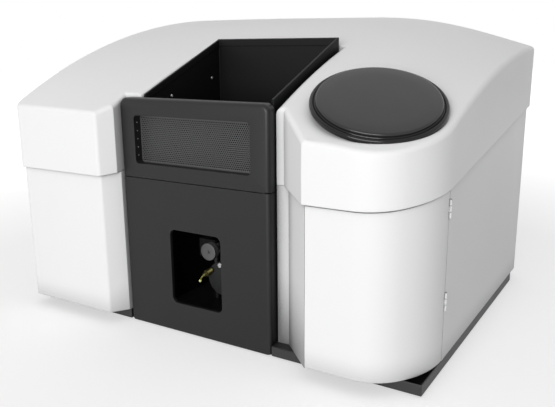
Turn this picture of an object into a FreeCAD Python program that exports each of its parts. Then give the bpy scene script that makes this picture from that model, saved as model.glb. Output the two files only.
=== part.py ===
import FreeCAD
import Part
import math
import os
from types import SimpleNamespace

import Sketcher

# Bench atomic absorption spectrophotometer, in millimetres.
# X runs to the right, Y to the back and Z up; the origin is under the middle of the instrument.
# Depths are given from the plane of the black front panels, and the helpers add panel_y to them.

os.makedirs("parts", exist_ok=True)
doc = FreeCAD.newDocument("spectrophotometer")
sheet = doc.addObject("Spreadsheet::Sheet", "Sizes")

SIZES = [
    # Overall body
    ("base_width", 720), ("overall_depth", 596), ("base_setback", 40), ("foot_height", 2),
    ("base_height", 16), ("tray_wall", 2), ("tray_floor", 2), ("chassis_plate", 3), ("foot_radius", 18),
    ("foot_inset", 60), ("bay_clearance", 1),
    # Outline of the two towers, seen from above
    ("left_front", 30), ("right_front", 35), ("cover_overhang", 5), ("back_corner_radius", 10),
    ("left_corner_x", -174), ("left_corner_radius", 12), ("left_slant", 1.4), ("bay_left", -154),
    ("bay_right", 129), ("bay_depth", 22), ("return_width", 19.3), ("right_slant", 0.96),
    ("right_face_depth", 17.5), ("edge_radius", 9), ("bow_turn", 50), ("bow_front_radius", 75),
    ("bow_side_radius", 136), ("bow_flat", 0.3), ("casing_wall", 3),
    ("cover_wall", 3.5), ("fit_gap", 0.3),
    # Parting line between the lower casing and the cover: it climbs to the back
    ("seam_front", 256.3), ("seam_slope", 0.15), ("seam_gap", 1.5), ("casing_lap", 10),
    ("ledge_height", 6), ("ledge_width", 9),
    # Crown of the cover: front and back height of seven lengthwise sections, from left to right
    ("crown_start", -43), ("crown_past_back", 25), ("crown_edge_radius", 8), ("crown_foot", 150),
    ("crown_sections", 7), ("crown_margin", 1),
    ("crown_front_1", 353), ("crown_back_1", 511), ("crown_swell_1", 0.42),
    ("crown_front_2", 351.5), ("crown_back_2", 511), ("crown_swell_2", 0.47),
    ("crown_front_3", 349), ("crown_back_3", 510), ("crown_swell_3", 0.52),
    ("crown_front_4", 345), ("crown_back_4", 508), ("crown_swell_4", 0.505),
    ("crown_front_5", 338.3), ("crown_back_5", 503.4), ("crown_swell_5", 0.49),
    ("crown_front_6", 330.5), ("crown_back_6", 481.5), ("crown_swell_6", 0.48),
    ("crown_front_7", 304), ("crown_back_7", 446), ("crown_swell_7", 0.49),
    # Round lamp lid on the right tower, lying on a sloping seat
    ("lid_inset", 97.2), ("lid_depth", 60.5), ("lid_z", 374), ("lid_tilt", 27), ("lid_facing", -60.5),
    ("lid_radius", 93), ("lid_thickness", 7), ("lid_disc_radius", 85), ("lid_groove", 1.6),
    ("lid_port_radius", 76), ("lid_seat_radius", 97), ("lid_seat_depth", 12), ("lid_spigot", 5),
    ("lid_skin", 2.5), ("lid_fit", 0.4), ("lid_side_gap", 0.6), ("lid_bead_drop", 1.5),
    ("lid_cut_height", 60),
    # Black burner well
    ("well_left", -116.6), ("well_right", 123.8), ("well_front", 20), ("well_back", 222.5), ("sheet", 2),
    ("rim_front", 372), ("rim_slope", 0.418), ("rim_hem", 2), ("rim_hem_height", 11), ("well_clearance", 3),
    ("beam_hole", 15), ("notch_flange", 30), ("screw_radius", 3), ("screw_height", 1.2),
    ("screw_near_depth", 85), ("screw_near_z", 374), ("screw_far_depth", 196), ("screw_far_z", 397),
    # Front panels
    ("panel_left", -152), ("panel_right", 127), ("panel_depth", 18), ("panel_top", 375.8),
    ("panel_joint", 250.4), ("panel_joint_gap", 1.2), ("panel_radius", 13), ("panel_skin", 2),
    ("window_left", -122.4), ("window_right", 95.8), ("window_low", 273), ("window_high", 349),
    ("window_radius", 6), ("cutout_left", -59), ("cutout_right", 39), ("cutout_low", 50.4),
    ("cutout_high", 172.8), ("cutout_radius", 10), ("cutout_lip", 6), ("window_lip", 15),
    ("mesh_pitch", 9), ("mesh_hole", 6.4),
    ("mesh_thickness", 1), ("mesh_border", 4), ("rail_radius", 3), ("rail_depth", 10), ("rail_low", 150),
    ("rail_top", 371), ("rail_fit", 0.05), ("rail_inset", 15), ("guide_length", 12), ("guide_half", 7),
    ("block_length", 12), ("block_upper", 230),
    # Burner and its carriage
    ("beam_z", 280), ("beam_depth", 113), ("burner_x", -4), ("burner_length", 110), ("burner_width", 24),
    ("burner_top_width", 12), ("burner_height", 44), ("burner_shoulder", 30), ("burner_gap", 10),
    ("slot_length", 100), ("slot_width", 1), ("slot_depth", 20), ("neck_radius", 12), ("neck_bore", 8),
    ("neck_fit", 0.05), ("socket_depth", 14), ("socket_wall", 4), ("chamber_z", 80), ("chamber_radius", 29),
    ("chamber_front", 62), ("chamber_back", 152), ("chamber_wall", 4), ("cap_length", 8), ("cap_spigot", 4),
    ("cap_fit", 0.1), ("knob_x", -19), ("knob_z", 129), ("knob_radius", 14.5), ("knob_length", 12),
    ("knob_front", 44), ("knob_chamfer", 1.5), ("pinion_radius", 8), ("pinion_length", 12),
    ("pinion_depth", 66), ("shaft_radius", 3), ("rack_width", 5), ("rack_high", 154), ("guide_radius", 5),
    ("guide_spread", 50), ("guide_top", 146), ("guide_fit", 0.05), ("guide_edge", 12),
    ("carriage_height", 8), ("carriage_width", 30), ("bridge_height", 8), ("bridge_width", 34),
    ("bridge_arm_left", -45), ("bridge_arm_right", -28), ("bearing_right", -13), ("bearing_low", 116),
    ("bearing_depth", 56), ("bearing_plate", 4), ("nebuliser_x", -26), ("nebuliser_z", 92),
    ("nebuliser_radius", 5), ("nebuliser_length", 17), ("nebuliser_nut", 6.5), ("nebuliser_tip", 2.2),
    ("nebuliser_tip_length", 11), ("nebuliser_side", -20), ("nebuliser_reach", -12),
    ("nebuliser_fall", -16), ("stud_x", -7), ("stud_z", 104), ("stud_radius", 4), ("stud_length", 4),
    ("drain_depth", 140), ("drain_radius", 4), ("drain_low", 40), ("igniter_x", 44), ("igniter_z", 255),
    ("igniter_radius", 3), ("igniter_front", 160),
    # Lamps, turret and lamp bench
    ("turret_inset", 97), ("turret_depth", 55), ("lamp_circle", 58), ("lamp_radius", 18.5),
    ("lamp_length", 120), ("lamp_base_radius", 16), ("lamp_base_length", 28), ("lamp_count", 8),
    ("turret_radius", 80), ("turret_z", 60), ("turret_plate", 4), ("turret_shaft", 6),
    ("turret_upper_z", 180), ("turret_top", 196), ("turret_fit", 0.05), ("motor_size", 56),
    ("motor_height", 34), ("motor_floor", 9), ("bench_z", 236), ("bench_plate", 6), ("bench_left", 140),
    ("bench_side", 15), ("bench_front", 95), ("bench_back", 290), ("bench_inset", 12), ("post_radius", 6),
    ("mirror_reach", 16), ("mirror_thickness", 2.12), ("mirror_half_width", 14), ("mount_wall", 8),
    ("tube_radius", 18), ("tube_bore", 14), ("tube_length", 45), ("tube_gap", 1), ("tube_foot", 10),
    ("lens_thickness", 4), ("lens_inset", 10),
    # Monochromator in the left tower
    ("mono_side", 15), ("mono_right", -150), ("mono_front", 60), ("mono_back", 330), ("mono_low", 200),
    ("mono_high", 330), ("mono_wall", 5), ("mono_post", 8), ("mono_inset", 20), ("slit_height", 16),
    ("slit_opening", 2), ("grating_inset", 55), ("grating_depth", 250), ("table_radius", 24),
    ("table_height", 6), ("grating_width", 36), ("grating_thickness", 8), ("grating_height", 36),
    ("spindle_radius", 4), ("drive_size", 42), ("drive_height", 40), ("detector_width", 60),
    ("detector_depth", 70), ("detector_low", 230), ("detector_height", 70),
    # Supplies, boards, gas unit and the connections at the back
    ("supply_side", 20), ("supply_width", 140), ("supply_setback", 21), ("supply_depth", 150),
    ("supply_height", 90), ("gas_left", -90), ("gas_right", 100), ("gas_setback", 81), ("gas_depth", 170),
    ("gas_height", 110), ("board_side", 20), ("board_width", 190), ("board_setback", 51),
    ("board_depth", 170),
    ("board_thickness", 1.6), ("board_stand", 10), ("board_inset", 8), ("stand_radius", 4), ("chip_size", 30),
    ("chip_height", 4), ("recess_left", -60), ("recess_right", 120), ("recess_low", 40), ("recess_high", 130),
    ("recess_depth", 24), ("pan_wall", 2), ("switch_x", -38), ("switch_z", 78), ("switch_width", 28),
    ("switch_height", 32), ("switch_depth", 8), ("switch_rim", 4), ("rocker_gap", 0.4), ("rocker_front", 3),
    ("rocker_dip", 1.4), ("rocker_tail", 3), ("rocker_pivot", 6), ("rocker_taper", 0.7),
    ("rocker_pin", 1.2), ("rocker_pin_length", 1.6), ("rocker_pin_fit", 0.1), ("inlet_x", 0),
    ("inlet_width", 30),
    ("inlet_height", 24), ("inlet_depth", 12), ("inlet_cavity", 8), ("inlet_rim", 3), ("gas_port_x", 44),
    ("gas_port_pitch", 24), ("gas_port_count", 3), ("gas_port_radius", 6), ("gas_port_nut", 9),
    ("gas_port_length", 18), ("gas_port_z", 78), ("data_x", 0), ("data_z", 112), ("data_width", 34),
    ("data_height", 13), ("data_depth", 6), ("fan_side", 110), ("fan_z", 110), ("fan_size", 80),
    ("fan_depth", 25), ("fan_bore", 37), ("fan_hub", 15), ("fan_blade", 35), ("fan_blades", 7),
    ("fan_blade_thickness", 2), ("fan_axle", 3), ("fan_strut", 5), ("fan_web", 3), ("slot_count", 7),
    ("slot_pitch", 9), ("vent_height", 5), ("vent_width", 60), ("vent_side", 110),
    ("joint_side", 20), ("joint_setback", 51),
    # Lamp compartment door
    ("door_gap", 0.4), ("door_low", 19), ("hinge_stand", 1.2), ("hinge_depth", 80.6), ("hinge_gap", 0.6),
    ("knuckle_radius", 2.2), ("pin_radius", 1.1), ("pin_fit", 0.05), ("hinge_high_z", 240),
    ("hinge_low_z", 108), ("hinge_length", 26), ("knuckle_gap", 0.4), ("knuckle_room", 0.5),
    ("knuckle_tab", 4), ("stop_lip", 3), ("stop_width", 10), ("stop_reach", 4),
    ("stop_gap", 1.2),
]
for row, (alias, value) in enumerate(SIZES, start=1):
    sheet.set(f"A{row}", alias)
    sheet.set(f"B{row}", str(value))
    sheet.setAlias(f"B{row}", alias)
doc.recompute()


class Length:
    """A size with its value and the sheet formula that gives it."""

    def __init__(self, amount, text=None):
        self.value = float(amount)
        self.text = text or f"({float(amount)!r})"

    def _join(self, other, sign, value):
        return Length(value, f"({self.text} {sign} {other.text})")

    def __add__(self, other):
        other = length(other)
        return self._join(other, "+", self.value + other.value)

    def __sub__(self, other):
        other = length(other)
        return self._join(other, "-", self.value - other.value)

    def __mul__(self, other):
        other = length(other)
        return self._join(other, "*", self.value * other.value)

    def __truediv__(self, other):
        other = length(other)
        return self._join(other, "/", self.value / other.value)

    def __neg__(self):
        return Length(-self.value, f"(0 - {self.text})")

    def __radd__(self, other):
        return length(other) + self

    def __rsub__(self, other):
        return length(other) - self

    def __rmul__(self, other):
        return length(other) * self

    def __rtruediv__(self, other):
        return length(other) / self


def length(amount):
    return amount if isinstance(amount, Length) else Length(amount)


def root(amount):
    return Length(math.sqrt(amount.value), f"sqrt({amount.text})")


def sine(angle):
    return Length(math.sin(math.radians(angle.value)), f"sin({angle.text})")


def cosine(angle):
    return Length(math.cos(math.radians(angle.value)), f"cos({angle.text})")


def tangent(angle):
    return Length(math.tan(math.radians(angle.value)), f"tan({angle.text})")


s = SimpleNamespace(**{alias: Length(sheet.get(alias), f"Sizes.{alias}") for alias, _ in SIZES})
panel_y = s.right_front + s.cover_overhang - s.overall_depth / 2
half_width = s.base_width / 2
base_top = s.foot_height + s.base_height
deck = base_top + s.chassis_plate
body_depth = s.overall_depth - s.right_front - s.cover_overhang * 2
base_depth = body_depth - s.base_setback
right_return = s.bay_right + s.return_width
turret_x = half_width - s.turret_inset
lid_x = half_width - s.lid_inset
back_joint_x = half_width - s.joint_side
back_joint_depth = body_depth - s.joint_setback
mono_left = s.mono_side - half_width
grating_x = mono_left + s.grating_inset
fan_x = half_width - s.fan_side
nodes = []


# Helpers

def bind(item, **sizes):
    for name, size in sizes.items():
        setattr(item, name, length(size).value)
        item.setExpression(name, length(size).text)


def place(item, x, y, z, rotation=None):
    spot = [length(x), panel_y + y, length(z)]
    turn = rotation or FreeCAD.Rotation()
    item.Placement = FreeCAD.Placement(FreeCAD.Vector(*[part.value for part in spot]), turn)
    for axis, part in zip("xyz", spot):
        item.setExpression(f".Placement.Base.{axis}", part.text)
    return item


def box(name, low, high):
    item = doc.addObject("Part::Box", name)
    x, y, z = [length(part) for part in low]
    bind(item, Length=high[0] - x, Width=high[1] - y, Height=high[2] - z)
    return place(item, x, y, z)


TURNS = {
    "z": FreeCAD.Rotation(),
    "x": FreeCAD.Rotation(FreeCAD.Vector(0, 1, 0), 90),
    "y": FreeCAD.Rotation(FreeCAD.Vector(1, 0, 0), -90),
}


def rod(name, radius, size, start, axis="z"):
    item = doc.addObject("Part::Cylinder", name)
    bind(item, Radius=radius, Height=size)
    return place(item, *start, TURNS[axis])


def fuse(name, *parts):
    item = doc.addObject("Part::MultiFuse", name)
    item.Shapes = list(parts)
    return item


def cut(name, base, *tools):
    item = doc.addObject("Part::Cut", name)
    item.Base = base
    item.Tool = tools[0] if len(tools) == 1 else fuse(name + "Tools", *tools)
    return item


def common(name, *parts):
    item = doc.addObject("Part::MultiCommon", name)
    item.Shapes = list(parts)
    return item


def group(name, *parts):
    item = doc.addObject("Part::Compound", name)
    item.Links = list(parts)
    return item


def node(item, label):
    item.Label = label
    nodes.append(item)
    return item


def rectangle(u0, v0, u1, v1, radius=0):
    return [(u0, v0, radius), (u1, v0, radius), (u1, v1, radius), (u0, v1, radius)]


def corner_arc(before, here, after, radius):
    """Start, middle and end of the arc that rounds the corner at here."""
    back = (before - here).normalize()
    ahead = (after - here).normalize()
    half = back.getAngle(ahead) / 2
    reach = radius / math.tan(half)
    inward = (back + ahead).normalize()
    crest = here + inward * (radius / math.sin(half) - radius)
    return here + back * reach, crest, here + ahead * reach


def constrain(drawing, kind, *parts):
    size = parts[-1]
    number = drawing.addConstraint(Sketcher.Constraint(kind, *parts[:-1], size.value))
    drawing.setExpression(f"Constraints[{number}]", size.text)


def outline(drawing, points):
    """Draws a closed outline of (u, v) or (u, v, radius) points and ties each to its sizes."""
    points = [tuple(length(part) for part in point) for point in points]
    spots = [FreeCAD.Vector(point[0].value, point[1].value, 0) for point in points]
    count = len(points)
    arcs = {}
    for index, point in enumerate(points):
        if len(point) > 2 and point[2].value > 0:
            after = spots[(index + 1) % count]
            arcs[index] = corner_arc(spots[index - 1], spots[index], after, point[2].value)
    lines = []
    for index in range(count):
        follow = (index + 1) % count
        start = arcs[index][2] if index in arcs else spots[index]
        end = arcs[follow][0] if follow in arcs else spots[follow]
        lines.append(drawing.addGeometry(Part.LineSegment(start, end)))
    for index, point in enumerate(points):
        before, after = lines[index - 1], lines[index]
        if index in arcs:
            arc = drawing.addGeometry(Part.Arc(*arcs[index]))
            enters = (drawing.Geometry[arc].StartPoint - arcs[index][0]).Length < 1e-6
            first, last = (1, 2) if enters else (2, 1)
            corner = drawing.addGeometry(Part.Point(spots[index]), True)
            drawing.addConstraint(Sketcher.Constraint("Tangent", before, 2, arc, first))
            drawing.addConstraint(Sketcher.Constraint("Tangent", arc, last, after, 1))
            drawing.addConstraint(Sketcher.Constraint("PointOnObject", corner, 1, before))
            drawing.addConstraint(Sketcher.Constraint("PointOnObject", corner, 1, after))
            constrain(drawing, "Radius", arc, point[2])
        else:
            corner = after
            drawing.addConstraint(Sketcher.Constraint("Coincident", before, 2, after, 1))
        constrain(drawing, "DistanceX", -1, 1, corner, 1, point[0])
        constrain(drawing, "DistanceY", -1, 1, corner, 1, point[1])
    return drawing


def circle(drawing, u, v, radius):
    u, v, radius = length(u), length(v), length(radius)
    ring = drawing.addGeometry(Part.Circle(FreeCAD.Vector(u.value, v.value, 0), FreeCAD.Vector(0, 0, 1),
                                           radius.value))
    constrain(drawing, "DistanceX", -1, 1, ring, 3, u)
    constrain(drawing, "DistanceY", -1, 1, ring, 3, v)
    constrain(drawing, "Radius", ring, radius)


PLANES = {"z": ("XY_Plane", 1), "y": ("XZ_Plane", None), "x": ("YZ_Plane", 0)}


def sketch_on(body, role, lift):
    drawing = body.newObject("Sketcher::SketchObject", body.Name + "Sketch")
    plane = [item for item in body.Origin.OriginFeatures if item.Role == role][0]
    drawing.AttachmentSupport = [(plane, "")]
    drawing.MapMode = "FlatFace"
    lift = length(lift)
    drawing.AttachmentOffset = FreeCAD.Placement(FreeCAD.Vector(0, 0, lift.value), FreeCAD.Rotation())
    drawing.setExpression(".AttachmentOffset.Base.z", lift.text)
    return drawing


def plate(name, points, low, size, axis="z", holes=(), rounds=()):
    """A padded outline seen from above (z), from the front (y) or from the right (x).

    Holes are outlines, rounds are (u, v, radius) circles."""
    role, depth = PLANES[axis]
    body = doc.addObject("PartDesign::Body", name)
    drawing = sketch_on(body, role, -(panel_y + low) if axis == "y" else low)
    for points in (points, *holes):
        if depth is not None:
            points = [(*point[:depth], panel_y + point[depth], *point[depth + 1:]) for point in points]
        outline(drawing, points)
    for spot in rounds:
        if depth is not None:
            spot = (*spot[:depth], panel_y + spot[depth], *spot[depth + 1:])
        circle(drawing, *spot)
    pad = body.newObject("PartDesign::Pad", name + "Pad")
    pad.Profile = drawing
    bind(pad, Length=size)
    pad.Reversed = axis == "y"
    return body


def turned(name, profile, start, axis="z", turn=None):
    """A revolved profile of (radius, height) points about an axis through start."""
    body = doc.addObject("PartDesign::Body", name)
    drawing = outline(sketch_on(body, "XZ_Plane", 0), profile)
    spin = body.newObject("PartDesign::Revolution", name + "Spin")
    spin.Profile = drawing
    spin.ReferenceAxis = (drawing, ["V_Axis"])
    spin.Angle = 360
    return place(body, *start, turn or TURNS[axis])


# Outline of the towers seen from above

def tower_plan(grow, wall, notch):
    """Closed outline round both towers.

    grow moves the outer faces out, wall then pulls the whole outline in, and notch is the
    (front, left, back) of a bay cut in behind the front panels."""
    out = length(grow - wall)
    left_front = -(s.left_front + out)
    right_front = -(s.right_front + out)
    side = half_width + out
    back = body_depth + out
    left_spread = root(1 + s.left_slant * s.left_slant)
    left_corner = s.left_corner_x + out * (left_spread - 1) / s.left_slant
    left_inner = s.bay_left - wall
    left_end = left_front + (left_inner - left_corner) * s.left_slant
    right_spread = root(1 + s.right_slant * s.right_slant)
    face = s.right_face_depth + wall
    return_x = right_return - (out * right_spread + wall) / s.right_slant
    crease = return_x + (face - right_front) / s.right_slant
    first = s.bow_front_radius + out
    second = s.bow_side_radius + out
    run = first * tangent(s.bow_turn / 2) + second * tangent(45 - s.bow_turn / 2) + s.bow_flat
    front, left, deep = notch
    bay = [(left_inner, front + wall)]
    if deep is not None:
        bay += [(left - wall, front + wall), (left - wall, deep + wall), (s.bay_right + wall, deep + wall)]
    else:
        bay += [(s.bay_right + wall, front + wall)]
    return [
        (-side, left_front, s.left_corner_radius + out),
        (left_corner, left_front, s.edge_radius),
        (left_inner, left_end),
        *bay,
        (s.bay_right + wall, face),
        (return_x, face),
        (crease, right_front),
        (side - run * cosine(s.bow_turn), right_front, first),
        (side, right_front + run * sine(s.bow_turn), second),
        (side, back, s.back_corner_radius + out),
        (-side, back, s.back_corner_radius + out),
    ]


open_bay = (s.bay_depth, None, None)
well_bay = (s.well_front, s.well_left - s.well_clearance, s.well_back + s.well_clearance)


def crease_x(grow):
    return tower_plan(grow, 0, open_bay)[7][0]


def seam_at(y):
    return s.seam_front + s.seam_slope * y


def slanted_slab(name, low_gap, high_gap):
    """A slab between two heights above the seam, wide and deep enough to cut everything."""
    near = -(s.right_front + s.cover_overhang + s.cover_wall * 4)
    far = body_depth + s.cover_overhang + s.cover_wall * 4
    points = [
        (near, seam_at(near) + low_gap),
        (far, seam_at(far) + low_gap),
        (far, seam_at(far) + high_gap),
        (near, seam_at(near) + high_gap),
    ]
    return plate(name, points, -s.base_width, s.base_width * 2, "x")


# Crown of the cover: a smooth loft through lengthwise sections

def crown_loft(name, drop):
    crown_end = body_depth + s.crown_past_back
    depth = crown_end - s.crown_start
    low = s.seam_front - s.crown_foot
    sections = []
    reach = half_width + s.cover_overhang + s.crown_margin
    count = round(s.crown_sections.value)
    for part in range(1, count + 1):
        x = reach * (2 * (part - 1) / (s.crown_sections - 1) - 1)
        front = getattr(s, f"crown_front_{part}") - drop
        back = getattr(s, f"crown_back_{part}") - drop
        near = (panel_y + s.crown_start).value
        far = (panel_y + crown_end).value
        knee = near + (depth * getattr(s, f"crown_swell_{part}")).value
        curve = Part.BezierCurve()
        curve.setPoles([
            FreeCAD.Vector(near, front.value, 0),
            FreeCAD.Vector(knee, back.value, 0),
            FreeCAD.Vector(far, back.value, 0),
        ])
        corners = [
            FreeCAD.Vector(far, back.value, 0),
            FreeCAD.Vector(far, low.value, 0),
            FreeCAD.Vector(near, low.value, 0),
            FreeCAD.Vector(near, front.value, 0),
        ]
        drawing = doc.addObject("Sketcher::SketchObject", f"{name}_{part}")
        drawing.addGeometry(curve.toBSpline())
        for start, end in zip(corners, corners[1:]):
            drawing.addGeometry(Part.LineSegment(start, end))
        upright = FreeCAD.Rotation(FreeCAD.Vector(0, 1, 0), FreeCAD.Vector(0, 0, 1), FreeCAD.Vector(1, 0, 0))
        drawing.Placement = FreeCAD.Placement(FreeCAD.Vector(x.value, 0, 0), upright)
        drawing.setExpression(".Placement.Base.x", x.text)
        sections.append(drawing)
    loft = doc.addObject("Part::Loft", name)
    loft.Sections = sections
    loft.Solid = True
    loft.Ruled = False
    return loft


# Cover: crowned shell over both towers, open at the burner well and at the lamp port

crown_floor = s.seam_front - s.crown_foot / 2
crown_room = s.crown_back_1 - crown_floor + s.cover_wall * 4
cover_outside = plate("CoverOutside", tower_plan(s.cover_overhang, 0, well_bay), crown_floor, crown_room)
cover_inside = plate("CoverInside", tower_plan(s.cover_overhang, s.cover_wall, well_bay), crown_floor,
                     crown_room)
cover_block = common("CoverBlock", crown_loft("Crown", 0), cover_outside)
doc.recompute()


def top_edges(shape, above):
    found = []
    for number, edge in enumerate(shape.Edges, start=1):
        bounds = edge.BoundBox
        if bounds.ZMin > above and max(bounds.XLength, bounds.YLength) > 0.01:
            found.append(number)
    return found


cover_round = doc.addObject("Part::Fillet", "CoverRound")
cover_round.Base = cover_block
radius = s.crown_edge_radius.value
cover_round.Edges = [(number, radius, radius) for number in top_edges(cover_block.Shape, s.seam_front.value)]
cover_hollow = common("CoverHollow", crown_loft("CrownUnder", s.cover_wall), cover_inside)
skirt_cut = slanted_slab("BelowSeam", -s.crown_foot * 2, s.seam_gap)
cover_shell = cut("CoverShell", cover_round, cover_hollow, skirt_cut)
ledge_block = common(
    "LedgeBlock",
    plate("LedgeOutside", tower_plan(s.cover_overhang, s.cover_wall / 2, well_bay), crown_floor, crown_room),
    slanted_slab("LedgeSlab", s.casing_lap, s.casing_lap + s.ledge_height),
)
ledge_hole = plate("LedgeInside", tower_plan(s.cover_overhang, s.ledge_width, well_bay), crown_floor,
                   crown_room)
ledge = cut("Ledge", ledge_block, ledge_hole)

lid_lean = sine(s.lid_tilt)
lid_axis = (lid_lean * cosine(s.lid_facing), lid_lean * sine(s.lid_facing), cosine(s.lid_tilt))
lid_turn = FreeCAD.Rotation(FreeCAD.Vector(0, 0, 1), FreeCAD.Vector(*[part.value for part in lid_axis]))


def on_lid(rise):
    """A point on the lid's axis, rise above its seat."""
    return (lid_x + lid_axis[0] * rise, s.lid_depth + lid_axis[1] * rise, s.lid_z + lid_axis[2] * rise)


def lid_rod(name, radius, low, high):
    item = rod(name, radius, high - low, on_lid(low))
    item.Placement.Rotation = lid_turn
    return item


def rim_at(y):
    return s.rim_front + s.rim_slope * y


def rim_slab(name, low_gap, high_gap, left, right, front, back):
    """A slab between two heights parallel to the well's sloping rim."""
    points = [
        (front, rim_at(front) + low_gap),
        (back, rim_at(back) + low_gap),
        (back, rim_at(back) + high_gap),
        (front, rim_at(front) + high_gap),
    ]
    return plate(name, points, left, right - left, "x")


seat_ring = common("SeatRing", cover_round,
                   lid_rod("SeatRod", s.lid_seat_radius, -s.lid_seat_depth, s.lid_cut_height))
cover_walls = fuse("CoverWalls", cover_shell, ledge, seat_ring)
notch_margin = s.well_clearance + s.ledge_width + s.bay_clearance
notch_clear = rim_slab("NotchClear", -s.base_width / 2, -s.notch_flange, s.well_left - notch_margin,
                       s.bay_right + notch_margin, s.well_front + notch_margin, s.well_back + notch_margin)
top_cover = cut(
    "TopCover",
    cover_walls,
    lid_rod("PortRod", s.lid_port_radius, -s.lid_seat_depth * 2, s.lid_cut_height),
    lid_rod("LidRecess", s.lid_radius + s.lid_side_gap, 0, s.lid_cut_height),
    notch_clear,
)
node(top_cover, "top_cover")

spigot = s.lid_port_radius - s.lid_fit
bead_top = s.lid_thickness - s.lid_bead_drop
groove_floor = bead_top - s.lid_groove
lid = turned("LampLid", [
    (0, s.lid_thickness - s.lid_skin),
    (spigot - s.lid_skin, s.lid_thickness - s.lid_skin),
    (spigot - s.lid_skin, -s.lid_spigot),
    (spigot, -s.lid_spigot),
    (spigot, 0),
    (s.lid_radius, 0, s.lid_fit * 2),
    (s.lid_radius, bead_top, s.lid_skin),
    (s.lid_disc_radius + s.lid_groove * 2, bead_top, s.lid_groove / 2),
    (s.lid_disc_radius + s.lid_groove, groove_floor),
    (s.lid_disc_radius, groove_floor),
    (s.lid_disc_radius, s.lid_thickness, s.lid_fit * 3),
    (0, s.lid_thickness),
], on_lid(s.fit_gap), turn=lid_turn)
node(lid, "lamp_lid")


# Base, feet and chassis plate

tray_bay = s.panel_depth + s.bay_clearance
bay_low = s.panel_left - s.bay_clearance
bay_high = s.panel_right + s.bay_clearance


def tray_outline(wall):
    return [
        (-half_width + wall, wall),
        (bay_low - wall, wall),
        (bay_low - wall, tray_bay + wall),
        (bay_high + wall, tray_bay + wall),
        (bay_high + wall, wall),
        (half_width - wall, wall),
        (half_width - wall, base_depth - wall),
        (-half_width + wall, base_depth - wall),
    ]


tray = cut(
    "BaseTray",
    plate("TrayOutside", tray_outline(0), s.foot_height, s.base_height),
    plate("TrayInside", tray_outline(s.tray_wall), s.foot_height + s.tray_floor, s.base_height),
)
node(tray, "base_tray")

feet = []
for side in (-1, 1):
    for y in (s.foot_inset, base_depth - s.foot_inset):
        feet.append(rod(f"Foot{len(feet) + 1}", s.foot_radius, s.foot_height,
                        (side * (half_width - s.foot_inset), y, 0)))
node(group("Feet", *feet), "feet")

chassis = plate("ChassisPlate", tower_plan(0, s.casing_wall + s.fit_gap, open_bay), base_top, s.chassis_plate)
node(chassis, "chassis_plate")


# Lower casings: one closed wall, cut at its joints

casing_room = crown_room
outer_x = half_width + s.cover_overhang
outer_y = body_depth + s.cover_overhang
front_y = -(s.right_front + s.cover_overhang)
casing_top = s.crown_back_1
bay_lap = common(
    "BayLap",
    slanted_slab("AboveBay", s.seam_gap - s.fit_gap, s.crown_foot),
    box("BayLapRoom", (s.bay_left - s.cover_wall - s.fit_gap, front_y, base_top),
        (right_return, s.bay_depth + s.casing_wall * 2, casing_top)),
)
casing_wall = cut(
    "CasingWall",
    plate("CasingOutside", tower_plan(0, 0, open_bay), base_top, casing_room),
    plate("CasingInside", tower_plan(0, s.casing_wall, open_bay), base_top - s.fit_gap,
          casing_room + s.fit_gap * 2),
    slanted_slab("AboveLap", s.casing_lap, s.crown_foot * 3),
    bay_lap,
)


def casing_part(name, *regions):
    boxes = [box(f"{name}Region{number}", low, high) for number, (low, high) in enumerate(regions, start=1)]
    picked = boxes[0] if len(boxes) == 1 else fuse(f"{name}Regions", *boxes)
    return common(name, casing_wall, picked)


left_casing = casing_part(
    "LeftCasing",
    ((-outer_x, front_y, base_top), (s.bay_left, back_joint_depth, casing_top)),
    ((-outer_x, back_joint_depth, base_top), (-back_joint_x, outer_y, casing_top)),
)
node(left_casing, "left_casing")

hinge_x = half_width + s.hinge_stand
side_edge = s.hinge_depth + s.hinge_gap
door_edge = s.hinge_depth - s.hinge_gap - s.fit_gap
segment = (s.hinge_length - s.knuckle_gap * 2) / 3
hinge_lows = [s.hinge_high_z - s.hinge_length / 2, s.hinge_low_z - s.hinge_length / 2]


def hinge_rods(name, radius):
    return [rod(f"{name}{number}", radius, s.hinge_length, (hinge_x, s.hinge_depth, low))
            for number, low in enumerate(hinge_lows, start=1)]


def knuckles(name, steps, tab_start):
    """Barrels and tabs at the given thirds of each hinge."""
    parts = []
    for low in hinge_lows:
        for step in steps:
            bottom = low + (segment + s.knuckle_gap) * step
            number = len(parts) + 1
            parts.append(rod(f"{name}Barrel{number}", s.knuckle_radius, segment,
                             (hinge_x, s.hinge_depth, bottom)))
            near, far = sorted((s.hinge_depth, s.hinge_depth + tab_start), key=lambda spot: spot.value)
            parts.append(box(f"{name}Tab{number}", (hinge_x - s.knuckle_tab, near, bottom),
                             (hinge_x, far, bottom + segment)))
    return parts


def hinged(name, panel, steps, tab_start):
    """The panel relieved round both hinges, with its own knuckles bored for the pins."""
    relieved = cut(f"{name}Relieved", panel, *hinge_rods(f"{name}Relief", s.knuckle_radius + s.knuckle_room))
    joined = fuse(f"{name}Joined", relieved, *knuckles(name, steps, tab_start))
    return cut(name, joined, *hinge_rods(f"{name}Bore", s.pin_radius + s.pin_fit))


side_panel = casing_part(
    "SideWall",
    ((back_joint_x, side_edge, base_top), (outer_x, outer_y, casing_top)),
)
node(hinged("RightSide", side_panel, (0, 2), s.knuckle_tab), "right_side_panel")

crease = crease_x(0)
inner_front = -s.right_front + s.casing_wall
stop_front = inner_front + s.stop_gap
stop_lip = box("StopLip", (crease - s.stop_reach, stop_front, deck + s.fit_gap),
               (crease + s.stop_width, stop_front + s.stop_lip, s.panel_joint))
right_front = casing_part(
    "RightFrontWall",
    ((s.bay_right, front_y, base_top), (crease, s.bay_depth, casing_top)),
)
node(fuse("RightFront", right_front, stop_lip), "right_front_panel")

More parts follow.
